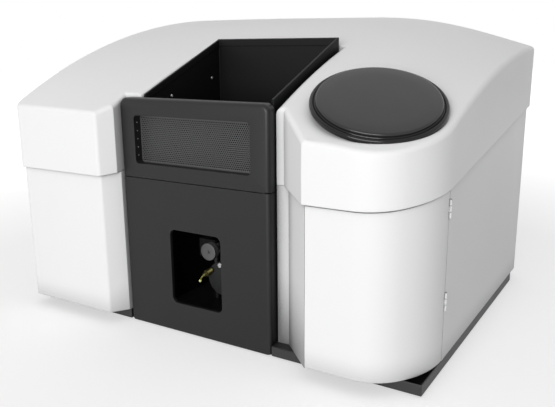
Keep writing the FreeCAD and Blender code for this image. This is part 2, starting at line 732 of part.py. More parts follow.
door_wall = cut(
    "DoorWall",
    casing_part("DoorRegion", ((crease + s.door_gap, front_y, s.door_low), (outer_x, door_edge, casing_top))),
    slanted_slab("AboveDoor", -s.seam_gap, s.crown_foot * 3),
)
node(hinged("LampDoor", door_wall, (1,), -s.knuckle_tab), "lamp_door")
node(group("DoorPins", *hinge_rods("DoorPin", s.pin_radius)), "door_hinge_pins")


# Rear panel with its vents and the recess for the connections

def rear_slots(name, x, z):
    parts = []
    for number in range(round(s.slot_count.value)):
        low = z + s.slot_pitch * (number - (s.slot_count - 1) / 2) - s.vent_height / 2
        parts.append(box(f"{name}{number + 1}", (x - s.vent_width / 2, back_joint_depth, low),
                         (x + s.vent_width / 2, outer_y, low + s.vent_height)))
    return parts


rear_inner = body_depth - s.casing_wall
pan_floor = rear_inner - s.recess_depth
rear_wall = casing_part(
    "RearWall",
    ((-back_joint_x + s.fit_gap, back_joint_depth, base_top),
     (back_joint_x - s.fit_gap, outer_y, casing_top)),
)
rear_panel = cut(
    "RearPanel",
    rear_wall,
    box("RecessWindow", (s.recess_left, back_joint_depth, s.recess_low),
        (s.recess_right, outer_y, s.recess_high)),
    *rear_slots("FanSlot", fan_x, s.fan_z),
    *rear_slots("IntakeSlot", s.vent_side - half_width, s.fan_z),
)
node(rear_panel, "rear_panel")

pan = cut(
    "ConnectionPan",
    box("PanOutside", (s.recess_left - s.pan_wall, pan_floor - s.pan_wall, s.recess_low - s.pan_wall),
        (s.recess_right + s.pan_wall, rear_inner, s.recess_high + s.pan_wall)),
    box("PanInside", (s.recess_left, pan_floor, s.recess_low), (s.recess_right, outer_y, s.recess_high)),
)
node(pan, "connection_pan")


# Burner well: folded black sheet with a hemmed, sloping rim

def well_outline(wall):
    left, right = s.well_left, s.well_right
    front, back = s.well_front, s.well_back
    return [
        (left, front), (left + wall, front), (left + wall, back - wall), (right - wall, back - wall),
        (right - wall, front), (right, front), (right, back), (left, back),
    ]


well_top = rim_at(s.well_back) + s.sheet
well_walls = fuse(
    "WellWalls",
    plate("WellSheet", well_outline(s.sheet), deck, well_top - deck),
    common(
        "WellHem",
        plate("HemSheet", well_outline(s.sheet + s.rim_hem), deck, well_top - deck),
        rim_slab("HemSlab", -s.rim_hem_height, s.sheet, s.well_left, s.well_right, s.well_front, s.well_back),
    ),
    box("LeftFlange", (s.panel_left + s.bay_clearance, s.panel_depth, deck),
        (s.well_left + s.sheet, s.well_front, s.panel_joint)),
    box("RightFlange", (s.well_right - s.sheet, s.panel_depth, deck),
        (s.panel_right - s.bay_clearance, s.well_front, s.panel_joint)),
)
flame_box = cut(
    "FlameBox",
    well_walls,
    rim_slab("AboveRim", 0, s.crown_foot, s.well_left - s.sheet, s.well_right + s.sheet,
             s.well_front - s.sheet, s.well_back + s.sheet),
    rod("BeamHole", s.beam_hole, s.base_width, (-half_width, s.beam_depth, s.beam_z), "x"),
)
node(flame_box, "flame_box")

inner_left = s.well_left + s.sheet
screws = [
    rod("NearScrew", s.screw_radius, s.screw_height, (inner_left, s.screw_near_depth, s.screw_near_z), "x"),
    rod("FarScrew", s.screw_radius, s.screw_height, (inner_left, s.screw_far_depth, s.screw_far_z), "x"),
]
node(group("WallScrews", *screws), "wall_screws")


# Front panels: shallow trays, the upper one a lifting flame shield on two rails

def tray_panel(name, outer, inner, opening, lip, lip_depth):
    """A folded front tray whose opening has a lip folded back round it."""
    skin = plate(name + "Skin", outer, 0, s.panel_skin, "y", holes=[opening])
    rim = plate(name + "Rim", outer, 0, s.panel_depth, "y", holes=[inner])
    return fuse(name, skin, rim, plate(name + "Lip", lip, 0, lip_depth, "y", holes=[opening]))


rail_xs = (s.panel_left + s.rail_inset, s.panel_right - s.rail_inset)
shield_low = s.panel_joint
inner_radius = s.panel_radius - s.panel_skin
shield_tray = tray_panel(
    "ShieldTray",
    [(s.panel_left, shield_low), (s.panel_right, shield_low),
     (s.panel_right, s.panel_top, s.panel_radius), (s.panel_left, s.panel_top, s.panel_radius)],
    [(s.panel_left + s.panel_skin, shield_low + s.panel_skin),
     (s.panel_right - s.panel_skin, shield_low + s.panel_skin),
     (s.panel_right - s.panel_skin, s.panel_top - s.panel_skin, inner_radius),
     (s.panel_left + s.panel_skin, s.panel_top - s.panel_skin, inner_radius)],
    rectangle(s.window_left, s.window_low, s.window_right, s.window_high, s.window_radius),
    rectangle(s.window_left - s.panel_skin, s.window_low - s.panel_skin, s.window_right + s.panel_skin,
              s.window_high + s.panel_skin, s.window_radius + s.panel_skin),
    s.window_lip,
)
guides = [box(f"ShieldGuide{number}", (x - s.guide_half, s.panel_skin / 2, shield_low),
              (x + s.guide_half, s.panel_depth - s.bay_clearance, shield_low + s.guide_length))
          for number, x in enumerate(rail_xs, start=1)]
guide_bores = [rod(f"GuideBore{number}", s.rail_radius + s.rail_fit, s.guide_length * 3,
                   (x, s.rail_depth, shield_low - s.guide_length))
               for number, x in enumerate(rail_xs, start=1)]
node(cut("ShieldFrame", fuse("ShieldSolid", shield_tray, *guides), *guide_bores), "shield_frame")

lower_top = shield_low - s.panel_joint_gap
lower_tray = tray_panel(
    "LowerTray",
    rectangle(s.panel_left, s.foot_height, s.panel_right, lower_top),
    rectangle(s.panel_left + s.panel_skin, s.foot_height + s.panel_skin, s.panel_right - s.panel_skin,
              lower_top - s.panel_skin),
    rectangle(s.cutout_left, s.cutout_low, s.cutout_right, s.cutout_high, s.cutout_radius),
    rectangle(s.cutout_left - s.panel_skin, s.cutout_low - s.panel_skin, s.cutout_right + s.panel_skin,
              s.cutout_high + s.panel_skin, s.cutout_radius + s.panel_skin),
    s.cutout_lip,
)
rail_holes = [rod(f"RailHole{number}", s.rail_radius + s.fit_gap, s.guide_length,
                  (x, s.rail_depth, lower_top - s.guide_length / 2))
              for number, x in enumerate(rail_xs, start=1)]
node(cut("LowerPanel", lower_tray, *rail_holes), "lower_front_panel")

rails = [rod(f"Rail{number}", s.rail_radius, s.rail_top - s.rail_low, (x, s.rail_depth, s.rail_low))
         for number, x in enumerate(rail_xs, start=1)]
node(group("ShieldRails", *rails), "shield_rails")

blocks = []
for x in rail_xs:
    for z in (s.rail_low, s.block_upper):
        number = len(blocks) + 1
        blocks.append(cut(
            f"RailBlock{number}",
            box(f"RailBlockBody{number}", (x - s.guide_half, s.panel_skin, z),
                (x + s.guide_half, s.panel_depth - s.bay_clearance, z + s.block_length)),
            rod(f"RailBlockBore{number}", s.rail_radius + s.rail_fit, s.block_length, (x, s.rail_depth, z)),
        ))
node(group("RailBlocks", *blocks), "rail_blocks")

mesh_body = plate(
    "ShieldMesh",
    rectangle(s.window_left - s.mesh_border, s.window_low - s.mesh_border, s.window_right + s.mesh_border,
              s.window_high + s.mesh_border),
    s.window_lip, s.mesh_thickness, "y",
)
doc.recompute()
mesh_columns = math.floor((s.window_right - s.window_left - s.mesh_hole).value / s.mesh_pitch.value)
mesh_rows = math.floor((s.window_high - s.window_low - s.mesh_hole).value / s.mesh_pitch.value)
half_hole = s.mesh_hole / 2
mesh_x = (s.window_left + s.window_right - s.mesh_pitch * mesh_columns) / 2
mesh_z = (s.window_low + s.window_high - s.mesh_pitch * mesh_rows) / 2


def diamond(u, v):
    return [(u - half_hole, v), (u, v - half_hole), (u + half_hole, v), (u, v + half_hole)]


mesh_sketch = sketch_on(mesh_body, "XZ_Plane", -(panel_y + s.window_lip))
mesh_sketch.Label = "MeshHoles"
outline(mesh_sketch, diamond(mesh_x, mesh_z))
outline(mesh_sketch, diamond(mesh_x + s.mesh_pitch / 2, mesh_z + s.mesh_pitch / 2))
mesh_cut = mesh_body.newObject("PartDesign::Pocket", "MeshCut")
mesh_cut.Profile = mesh_sketch
mesh_cut.Type = 1
mesh_cut.Midplane = True
doc.recompute()
mesh_grid = mesh_body.newObject("PartDesign::MultiTransform", "MeshGrid")
mesh_grid.Originals = [mesh_cut]
steps = []
for name, direction, count in (("MeshAcross", "H_Axis", mesh_columns), ("MeshUp", "V_Axis", mesh_rows)):
    step = mesh_body.newObject("PartDesign::LinearPattern", name)
    step.Direction = (mesh_sketch, [direction])
    step.Mode = "Spacing"
    bind(step, Offset=s.mesh_pitch)
    step.Occurrences = count
    steps.append(step)
mesh_grid.Transformations = steps
mesh_body.Tip = mesh_grid
node(mesh_body, "shield_mesh")


# Burner head, spray chamber and the carriage that lifts them

burner_top = s.beam_z - s.burner_gap
burner_low = burner_top - s.burner_height
half_burner = s.burner_width / 2
half_top = s.burner_top_width / 2
burner_block = plate(
    "BurnerBlock",
    [(s.beam_depth - half_burner, burner_low), (s.beam_depth + half_burner, burner_low),
     (s.beam_depth + half_burner, burner_low + s.burner_shoulder), (s.beam_depth + half_top, burner_top),
     (s.beam_depth - half_top, burner_top), (s.beam_depth - half_burner, burner_low + s.burner_shoulder)],
    s.burner_x - s.burner_length / 2, s.burner_length, "x",
)
socket_low = burner_low - s.socket_depth
neck_spot = (s.burner_x, s.beam_depth, socket_low)
burner_head = cut(
    "BurnerHead",
    fuse("BurnerSolid", burner_block,
         rod("BurnerSocket", s.neck_radius + s.socket_wall, s.socket_depth, neck_spot)),
    rod("SocketBore", s.neck_radius + s.neck_fit, s.socket_depth, neck_spot),
    rod("GasWay", s.neck_bore, burner_top - s.slot_depth - socket_low, neck_spot),
    box("BurnerSlot", (s.burner_x - s.slot_length / 2, s.beam_depth - s.slot_width / 2,
                       burner_top - s.slot_depth),
        (s.burner_x + s.slot_length / 2, s.beam_depth + s.slot_width / 2, burner_top)),
)
node(burner_head, "burner_head")

tube_front = s.chamber_front + s.cap_length
tube_length = s.chamber_back - tube_front
neck_top = burner_low - s.fit_gap
spray_chamber = cut(
    "SprayChamber",
    fuse("ChamberSolid",
         rod("ChamberTube", s.chamber_radius, tube_length, (s.burner_x, tube_front, s.chamber_z), "y"),
         rod("Neck", s.neck_radius, neck_top - s.chamber_z, (s.burner_x, s.beam_depth, s.chamber_z))),
    rod("ChamberBore", s.chamber_radius - s.chamber_wall, tube_length - s.chamber_wall,
        (s.burner_x, tube_front, s.chamber_z), "y"),
    rod("NeckBore", s.neck_bore, neck_top - s.chamber_z, (s.burner_x, s.beam_depth, s.chamber_z)),
)
node(spray_chamber, "spray_chamber")

chamber_cap = fuse(
    "ChamberCap",
    rod("CapDisc", s.chamber_radius, s.cap_length, (s.burner_x, s.chamber_front, s.chamber_z), "y"),
    rod("CapSpigot", s.chamber_radius - s.chamber_wall - s.cap_fit, s.cap_spigot,
        (s.burner_x, tube_front, s.chamber_z), "y"),
)
node(chamber_cap, "chamber_cap")

neb_sides = (s.nebuliser_side, s.nebuliser_reach, s.nebuliser_fall)
neb_span = root(neb_sides[0] * neb_sides[0] + neb_sides[1] * neb_sides[1] + neb_sides[2] * neb_sides[2])
neb_way = [side / neb_span for side in neb_sides]
neb_turn = FreeCAD.Rotation(FreeCAD.Vector(0, 0, 1), FreeCAD.Vector(*[part.value for part in neb_way]))


def nebuliser_rod(name, radius, low, high):
    start = (s.nebuliser_x + neb_way[0] * low, s.chamber_front + neb_way[1] * low,
             s.nebuliser_z + neb_way[2] * low)
    item = rod(name, radius, high - low, start)
    item.Placement.Rotation = neb_turn
    return item


nut_start = s.nebuliser_length - s.nebuliser_nut
nebuliser = cut(
    "Nebuliser",
    fuse("NebuliserSolid",
         nebuliser_rod("NebuliserBody", s.nebuliser_radius, -s.nebuliser_radius, s.nebuliser_length),
         nebuliser_rod("NebuliserNut", s.nebuliser_nut, nut_start, s.nebuliser_length),
         nebuliser_rod("NebuliserTip", s.nebuliser_tip, s.nebuliser_length,
                       s.nebuliser_length + s.nebuliser_tip_length)),
    rod("CapFace", s.chamber_radius * 2, s.cap_length * 2, (s.burner_x, s.chamber_front, s.chamber_z), "y"),
)
node(nebuliser, "nebuliser")

cap_stud = rod("CapStud", s.stud_radius, s.stud_length,
               (s.stud_x, s.chamber_front - s.stud_length, s.stud_z), "y")
node(cap_stud, "cap_stud")

drain = cut(
    "DrainFitting",
    rod("DrainRod", s.drain_radius, s.chamber_z - s.drain_low, (s.burner_x, s.drain_depth, s.drain_low)),
    rod("DrainSeat", s.chamber_radius, tube_length * 2, (s.burner_x, tube_front, s.chamber_z), "y"),
)
node(drain, "drain_fitting")

carriage_low = s.chamber_z + s.chamber_radius + s.fit_gap
carriage_high = carriage_low + s.carriage_height
guide_xs = (s.burner_x - s.guide_spread, s.burner_x + s.guide_spread)
rack_left = s.knob_x + s.pinion_radius + s.fit_gap
rack_right = rack_left + s.rack_width


def guide_holes(name, radius, low, size):
    return [rod(f"{name}{number}", radius, size, (x, s.beam_depth, low))
            for number, x in enumerate(guide_xs, start=1)]


carriage = cut(
    "Carriage",
    fuse("CarriageSolid",
         box("CarriagePlate", (guide_xs[0] - s.guide_edge, s.beam_depth - s.carriage_width / 2, carriage_low),
             (guide_xs[1] + s.guide_edge, s.beam_depth + s.carriage_width / 2, carriage_high)),
         box("CarriageArm", (rack_left, s.pinion_depth, carriage_low),
             (s.burner_x + s.neck_radius, s.beam_depth, carriage_high)),
         box("Rack", (rack_left, s.pinion_depth, carriage_low),
             (rack_right, s.pinion_depth + s.pinion_length, s.rack_high))),
    rod("NeckHole", s.neck_radius + s.neck_fit, s.carriage_height, (s.burner_x, s.beam_depth, carriage_low)),
    *guide_holes("CarriageBore", s.guide_radius + s.guide_fit, carriage_low, s.carriage_height),
)
node(carriage, "burner_carriage")

guide_rods = guide_holes("GuideRod", s.guide_radius, deck, s.guide_top - deck)
node(group("GuideRods", *guide_rods), "guide_rods")

bridge_low = s.guide_top - s.bridge_height
bridge = cut(
    "KnobBracket",
    fuse("BracketSolid",
         box("BridgeBar", (guide_xs[0] - s.guide_edge, s.beam_depth - s.bridge_width / 2, bridge_low),
             (guide_xs[1] + s.guide_edge, s.beam_depth + s.bridge_width / 2, s.guide_top)),
         box("BridgeArm", (s.bridge_arm_left, s.bearing_depth, bridge_low),
             (s.bridge_arm_right, s.beam_depth, s.guide_top)),
         box("BearingPlate", (s.bridge_arm_left, s.bearing_depth, s.bearing_low),
             (s.bearing_right, s.bearing_depth + s.bearing_plate, s.guide_top))),
    rod("BridgeNeckHole", s.neck_radius + s.socket_wall / 2, s.bridge_height,
        (s.burner_x, s.beam_depth, bridge_low)),
    rod("BearingBore", s.shaft_radius + s.guide_fit, s.bearing_plate,
        (s.knob_x, s.bearing_depth, s.knob_z), "y"),
    *guide_holes("BridgeBore", s.guide_radius + s.guide_fit, bridge_low, s.bridge_height),
)
node(bridge, "knob_bracket")

knob_back = s.knob_front + s.knob_length - s.fit_gap
knob = turned("LiftKnob", [
    (0, 0),
    (s.knob_radius, 0),
    (s.knob_radius, knob_back - s.knob_front - s.knob_chamfer),
    (s.knob_radius - s.knob_chamfer, knob_back - s.knob_front),
    (0, knob_back - s.knob_front),
], (s.knob_x, knob_back, s.knob_z), turn=FreeCAD.Rotation(FreeCAD.Vector(1, 0, 0), 90))
node(knob, "lift_knob")

pinion = fuse(
    "LiftPinion",
    rod("KnobShaft", s.shaft_radius, s.pinion_depth + s.pinion_length - knob_back,
        (s.knob_x, knob_back, s.knob_z), "y"),
    rod("Pinion", s.pinion_radius, s.pinion_length, (s.knob_x, s.pinion_depth, s.knob_z), "y"),
)
node(pinion, "lift_pinion")

igniter = rod("Igniter", s.igniter_radius, s.well_back - s.sheet - s.igniter_front,
              (s.igniter_x, s.igniter_front, s.igniter_z), "y")
node(igniter, "igniter")


# Lamp turret under the round lid

turret_spot = (turret_x, s.turret_depth)
motor_top = deck + s.motor_height
motor = cut(
    "TurretMotor",
    box("MotorBody", (turret_x - s.motor_size / 2, s.turret_depth - s.motor_size / 2, deck),
        (turret_x + s.motor_size / 2, s.turret_depth + s.motor_size / 2, motor_top)),
    rod("MotorBore", s.turret_shaft + s.turret_fit, s.motor_height, (*turret_spot, deck + s.motor_floor)),
)
node(motor, "turret_motor")


def lamp_spots():
    count = round(s.lamp_count.value)
    for number in range(count):
        angle = 90 + number * 360 / s.lamp_count
        yield (turret_x + s.lamp_circle * cosine(angle), s.turret_depth + s.lamp_circle * sine(angle))


shaft_low = deck + s.motor_floor + s.fit_gap
turret = cut(
    "LampTurret",
    fuse("TurretSolid",
         rod("TurretShaft", s.turret_shaft, s.turret_top - shaft_low, (*turret_spot, shaft_low)),
         rod("TurretLower", s.turret_radius, s.turret_plate, (*turret_spot, s.turret_z)),
         rod("TurretUpper", s.turret_radius, s.turret_plate, (*turret_spot, s.turret_upper_z))),
    *[rod(f"LampHole{number}", s.lamp_radius + s.fit_gap, s.turret_plate, (*spot, s.turret_upper_z))
      for number, spot in enumerate(lamp_spots(), start=1)],
)
node(turret, "lamp_turret")

base_low = s.turret_z + s.turret_plate
glass_low = base_low + s.lamp_base_length
lamp_bases = [rod(f"LampBase{number}", s.lamp_base_radius, s.lamp_base_length, (*spot, base_low))
              for number, spot in enumerate(lamp_spots(), start=1)]
node(group("LampBases", *lamp_bases), "lamp_bases")
lamp_tubes = [rod(f"LampTube{number}", s.lamp_radius, s.lamp_length, (*spot, glass_low))
              for number, spot in enumerate(lamp_spots(), start=1)]
node(group("LampTubes", *lamp_tubes), "hollow_cathode_lamps")


# Lamp bench: fold mirror over the lamp at the back of the turret, and the lens tubes

mirror_y = s.turret_depth + s.lamp_circle
bench_top = s.bench_z + s.bench_plate
bench_right = half_width - s.bench_side
bench = plate(
    "LampBench",
    rectangle(s.bench_left, s.bench_front, bench_right, s.bench_back),
    s.bench_z, s.bench_plate, "z",
    rounds=[(turret_x, mirror_y, s.lamp_base_radius)],
)
node(bench, "lamp_bench")

bench_spots = [(x, y) for x in (s.bench_left + s.bench_inset, bench_right - s.bench_inset)
               for y in (s.bench_front + s.bench_inset, s.bench_back - s.bench_inset)]
bench_spots[2] = (bench_spots[2][0], s.turret_depth + s.turret_radius + s.bench_inset)
posts = [rod(f"BenchPost{number}", s.post_radius, s.bench_z - deck, (*spot, deck))
         for number, spot in enumerate(bench_spots, start=1)]
node(group("BenchPosts", *posts), "bench_posts")

reach = s.mirror_reach
thick = s.mirror_thickness
mirror = plate(
    "FoldMirror",
    [(turret_x + reach, s.beam_z - reach), (turret_x + reach + thick, s.beam_z - reach + thick),
     (turret_x - reach + thick, s.beam_z + reach + thick), (turret_x - reach, s.beam_z + reach)],
    mirror_y - s.mirror_half_width, s.mirror_half_width * 2, "y",
)
node(mirror, "fold_mirror")
mount_inner = turret_x + reach + thick * 2
mount_outer = mount_inner + s.mount_wall
mount_top = s.beam_z + reach + thick * 2 + s.mount_wall
mount = plate(
    "MirrorMount",
    [(mount_inner, bench_top), (mount_outer, bench_top), (mount_outer, mount_top),
     (turret_x + thick * 2 + s.beam_z - mount_top, mount_top),
     (mount_inner, s.beam_z + turret_x + thick * 2 - mount_inner)],
    mirror_y - s.mirror_half_width, s.mirror_half_width * 2, "y",
)
node(mount, "fold_mirror_mount")

right_tube_x = s.well_right + s.tube_gap
left_tube_x = s.mono_right
left_tube_length = s.well_left - s.tube_gap - s.mono_right
right_tube = cut(
    "RightTube",
    fuse("RightTubeSolid",
         rod("RightTubeRod", s.tube_radius, s.tube_length, (right_tube_x, s.beam_depth, s.beam_z), "x"),
         box("RightTubeFoot", (s.bench_left, s.beam_depth - s.tube_foot, bench_top),
             (right_tube_x + s.tube_length, s.beam_depth + s.tube_foot, s.beam_z))),
    rod("RightTubeBore", s.tube_bore, s.tube_length, (right_tube_x, s.beam_depth, s.beam_z), "x"),
)
left_tube = cut(
    "LeftTube",
    rod("LeftTubeRod", s.tube_radius, left_tube_length, (left_tube_x, s.beam_depth, s.beam_z), "x"),
    rod("LeftTubeBore", s.tube_bore, left_tube_length, (left_tube_x, s.beam_depth, s.beam_z), "x"),
)
node(group("LensTubes", right_tube, left_tube), "lens_tubes")
lenses = [rod(name, s.tube_bore, s.lens_thickness, (x + s.lens_inset, s.beam_depth, s.beam_z), "x")
          for name, x in (("RightLens", right_tube_x), ("LeftLens", left_tube_x))]
node(group("BeamLenses", *lenses), "beam_lenses")


# Monochromator: light-tight housing with a turning grating

mono_floor = s.mono_low + s.mono_wall
slit_low = s.beam_z - s.slit_height / 2
mono = cut(
    "Monochromator",
    box("MonoOutside", (mono_left, s.mono_front, s.mono_low), (s.mono_right, s.mono_back, s.mono_high)),
    box("MonoInside", (mono_left + s.mono_wall, s.mono_front + s.mono_wall, mono_floor),
        (s.mono_right - s.mono_wall, s.mono_back - s.mono_wall, s.mono_high - s.mono_wall)),
    box("EntranceSlit", (s.mono_right - s.mono_wall, s.beam_depth - s.slit_opening / 2, slit_low),
        (s.mono_right, s.beam_depth + s.slit_opening / 2, slit_low + s.slit_height)),
    rod("SpindleHole", s.spindle_radius + s.turret_fit, s.mono_wall,
        (grating_x, s.grating_depth, s.mono_low)),
)
node(mono, "monochromator")

mono_posts = []
for x in (mono_left + s.mono_inset, s.mono_right - s.mono_inset):
    for y in (s.mono_front + s.mono_inset, s.mono_back - s.mono_inset):
        mono_posts.append(rod(f"MonoPost{len(mono_posts) + 1}", s.mono_post, s.mono_low - deck, (x, y, deck)))
node(group("MonoPosts", *mono_posts), "mono_posts")

drive_low = s.mono_low - s.drive_height
half_drive = s.drive_size / 2
drive = cut(
    "WavelengthDrive",
    box("DriveBody", (grating_x - half_drive, s.grating_depth - half_drive, drive_low),
        (grating_x + half_drive, s.grating_depth + half_drive, s.mono_low)),
    rod("DriveBore", s.spindle_radius + s.turret_fit, s.drive_height / 2,
        (grating_x, s.grating_depth, s.mono_low - s.drive_height / 2)),
)
node(drive, "wavelength_drive")

table_low = mono_floor + s.fit_gap
spindle_low = s.mono_low - s.drive_height / 2 + s.fit_gap
table = fuse(
    "GratingTable",
    rod("TableDisc", s.table_radius, s.table_height, (grating_x, s.grating_depth, table_low)),
    rod("TableSpindle", s.spindle_radius, table_low - spindle_low, (grating_x, s.grating_depth, spindle_low)),
)
node(table, "grating_table")
grating_low = table_low + s.table_height
grating = box("Grating", (grating_x - s.grating_width / 2, s.grating_depth - s.grating_thickness / 2,
                          grating_low),
              (grating_x + s.grating_width / 2, s.grating_depth + s.grating_thickness / 2,
               grating_low + s.grating_height))
node(grating, "diffraction_grating")

detector = box("Detector", (mono_left, s.mono_back, s.detector_low),
               (mono_left + s.detector_width, s.mono_back + s.detector_depth,
                s.detector_low + s.detector_height))
node(detector, "detector_housing")


# Power supply, gas unit and control board

supply_left = s.supply_side - half_width
supply_back = body_depth - s.supply_setback
node(box("PowerSupply", (supply_left, supply_back - s.supply_depth, deck),
         (supply_left + s.supply_width, supply_back, deck + s.supply_height)), "power_supply")
gas_back = body_depth - s.gas_setback
node(box("GasUnit", (s.gas_left, gas_back - s.gas_depth, deck), (s.gas_right, gas_back, deck + s.gas_height)),
     "gas_control_unit")

board_low = deck + s.board_stand
board_top = board_low + s.board_thickness
board_right = half_width - s.board_side
board_left = board_right - s.board_width
board_back = body_depth - s.board_setback
board_front = board_back - s.board_depth
chip_top = board_top + s.chip_height
chips = [box(f"Chip{number}", (x, y, board_top), (x + s.chip_size, y + s.chip_size, chip_top))
         for number, (x, y) in enumerate(
             [(board_left + s.chip_size, board_front + s.chip_size),
              (board_right - s.chip_size * 2, board_front + s.chip_size),
              (board_left + s.chip_size, board_back - s.chip_size * 2)], start=1)]
board = fuse("ControlBoard",
             box("BoardPlate", (board_left, board_front, board_low), (board_right, board_back, board_top)),
             *chips)
node(board, "control_board")
stands = []
for x in (board_left + s.board_inset, board_right - s.board_inset):
    for y in (board_front + s.board_inset, board_back - s.board_inset):
        stands.append(rod(f"BoardStand{len(stands) + 1}", s.stand_radius, s.board_stand, (x, y, deck)))
node(group("BoardStands", *stands), "board_standoffs")


# Connections in the recess at the back: each stands on the floor of the pan

def centred(name, x, z, width, height, low, high):
    return box(name, (x - width / 2, low, z - height / 2), (x + width / 2, high, z + height / 2))


switch_back = pan_floor + s.switch_depth
frame_inner_width = s.switch_width - s.switch_rim * 2
frame_inner_height = s.switch_height - s.switch_rim * 2
pivot_y = pan_floor + s.rocker_pivot


def pivot_rod(name, radius, size):
    """A rod along the rocker's own axis, centred on the switch."""
    return rod(name, radius, size, (s.switch_x - size / 2, pivot_y, s.switch_z), "x")


pin_span = frame_inner_width + s.rocker_pin_length * 2
switch_frame = cut(
    "SwitchFrame",
    centred("SwitchBody", s.switch_x, s.switch_z, s.switch_width, s.switch_height, pan_floor, switch_back),
    centred("SwitchWell", s.switch_x, s.switch_z, frame_inner_width, frame_inner_height, pan_floor,
            switch_back),
    pivot_rod("PivotBore", s.rocker_pin + s.rocker_pin_fit, pin_span + s.rocker_gap * 2),
)
node(switch_frame, "switch_frame")
tip = frame_inner_height / 2 - s.rocker_gap * 2
rocker_face = pivot_y + s.rocker_front
rocker_back = pivot_y - s.rocker_tail
rocker_body = plate(
    "RockerBody",
    [(rocker_face, s.switch_z - tip), (rocker_face, s.switch_z - tip + s.rocker_gap),
     (pivot_y + s.rocker_dip, s.switch_z), (rocker_face, s.switch_z + tip - s.rocker_gap),
     (rocker_face, s.switch_z + tip), (rocker_back, s.switch_z + tip * s.rocker_taper),
     (rocker_back, s.switch_z - tip * s.rocker_taper)],
    s.switch_x - frame_inner_width / 2 + s.rocker_gap, frame_inner_width - s.rocker_gap * 2, "x",
)
node(fuse("PowerSwitch", rocker_body, pivot_rod("RockerPins", s.rocker_pin, pin_span)), "power_switch")

inlet_back = pan_floor + s.inlet_depth
mains = cut(
    "MainsInlet",
    centred("InletBody", s.inlet_x, s.switch_z, s.inlet_width, s.inlet_height, pan_floor, inlet_back),
    centred("InletCavity", s.inlet_x, s.switch_z, s.inlet_width - s.inlet_rim * 2,
            s.inlet_height - s.inlet_rim * 2, inlet_back - s.inlet_cavity, inlet_back),
)
node(mains, "mains_inlet")

ports = []
for number in range(round(s.gas_port_count.value)):
    spot = (s.gas_port_x + s.gas_port_pitch * number, pan_floor, s.gas_port_z)
    ports.append(fuse(
        f"GasPort{number + 1}",
        rod(f"GasPortBody{number + 1}", s.gas_port_radius, s.gas_port_length, spot, "y"),
        rod(f"GasPortNut{number + 1}", s.gas_port_nut, s.gas_port_length / 3, spot, "y"),
    ))
node(group("GasInlets", *ports), "gas_inlets")
node(centred("SignalPort", s.data_x, s.data_z, s.data_width, s.data_height, pan_floor,
             pan_floor + s.data_depth), "signal_port")


# Cooling fan on the inside of the rear panel

fan_low = rear_inner - s.fan_depth
fan_frame = fuse(
    "FanFrame",
    cut("FanShroud",
        centred("FanBody", fan_x, s.fan_z, s.fan_size, s.fan_size, fan_low, rear_inner),
        rod("FanBore", s.fan_bore, s.fan_depth, (fan_x, fan_low, s.fan_z), "y")),
    centred("FanStrut", fan_x, s.fan_z, s.fan_strut, s.fan_size, fan_low, fan_low + s.fan_web),
    centred("FanCross", fan_x, s.fan_z, s.fan_size, s.fan_strut, fan_low, fan_low + s.fan_web),
    rod("FanHubSeat", s.fan_hub, s.fan_web, (fan_x, fan_low, s.fan_z), "y"),
    rod("FanAxle", s.fan_axle, s.fan_depth - s.fan_web * 2, (fan_x, fan_low, s.fan_z), "y"),
)
node(fan_frame, "fan_frame")

rotor_low = fan_low + s.fan_web + s.fit_gap
rotor_high = rear_inner - s.fan_web
blades = []
for number in range(round(s.fan_blades.value)):
    blade = box(f"Blade{number + 1}", (fan_x + s.fan_axle * 2, rotor_low, s.fan_z),
                (fan_x + s.fan_blade, rotor_high, s.fan_z + s.fan_blade_thickness))
    turn = FreeCAD.Rotation(FreeCAD.Vector(0, 1, 0), number * 360 / s.fan_blades.value)
    centre = FreeCAD.Vector(fan_x.value, 0, s.fan_z.value)
    blade.Placement = FreeCAD.Placement(centre, turn).multiply(FreeCAD.Placement(
        -centre, FreeCAD.Rotation())).multiply(blade.Placement)
    for axis in "xyz":
        blade.setExpression(f".Placement.Base.{axis}", None)
    blades.append(blade)
fan_rotor = cut(
    "FanRotor",
    fuse("RotorSolid", rod("RotorHub", s.fan_hub, rotor_high - rotor_low, (fan_x, rotor_low, s.fan_z), "y"),
         *blades),
    rod("RotorBore", s.fan_axle + s.turret_fit, rotor_high - rotor_low, (fan_x, rotor_low, s.fan_z), "y"),
)
node(fan_rotor, "fan_rotor")


# Checks and files

doc.recompute()
for item in doc.Objects:
    if "Invalid" in item.State or "Error" in item.State:
        raise RuntimeError(f"{item.Label} did not build: {item.getStatusString()}")
for item in nodes:
    if item.Shape.isNull() or not item.Shape.isValid() or not item.Shape.Solids:
        raise RuntimeError(f"{item.Label} has no valid solid")
for item in nodes:
    item.Shape.exportStep(f"parts/{item.Label}.step")
    print(f"{item.Label}: {len(item.Shape.Solids)} solid(s), {item.Shape.Volume / 1000:.1f} cm3")
print(f"{len(nodes)} nodes")
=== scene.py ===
"""A bench atomic absorption spectrophotometer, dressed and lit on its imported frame. All lengths are in metres."""
import logging
import math
from dataclasses import dataclass, field, replace
from enum import Enum
from typing import ClassVar

import bmesh
import bpy
from mathutils import Matrix, Vector


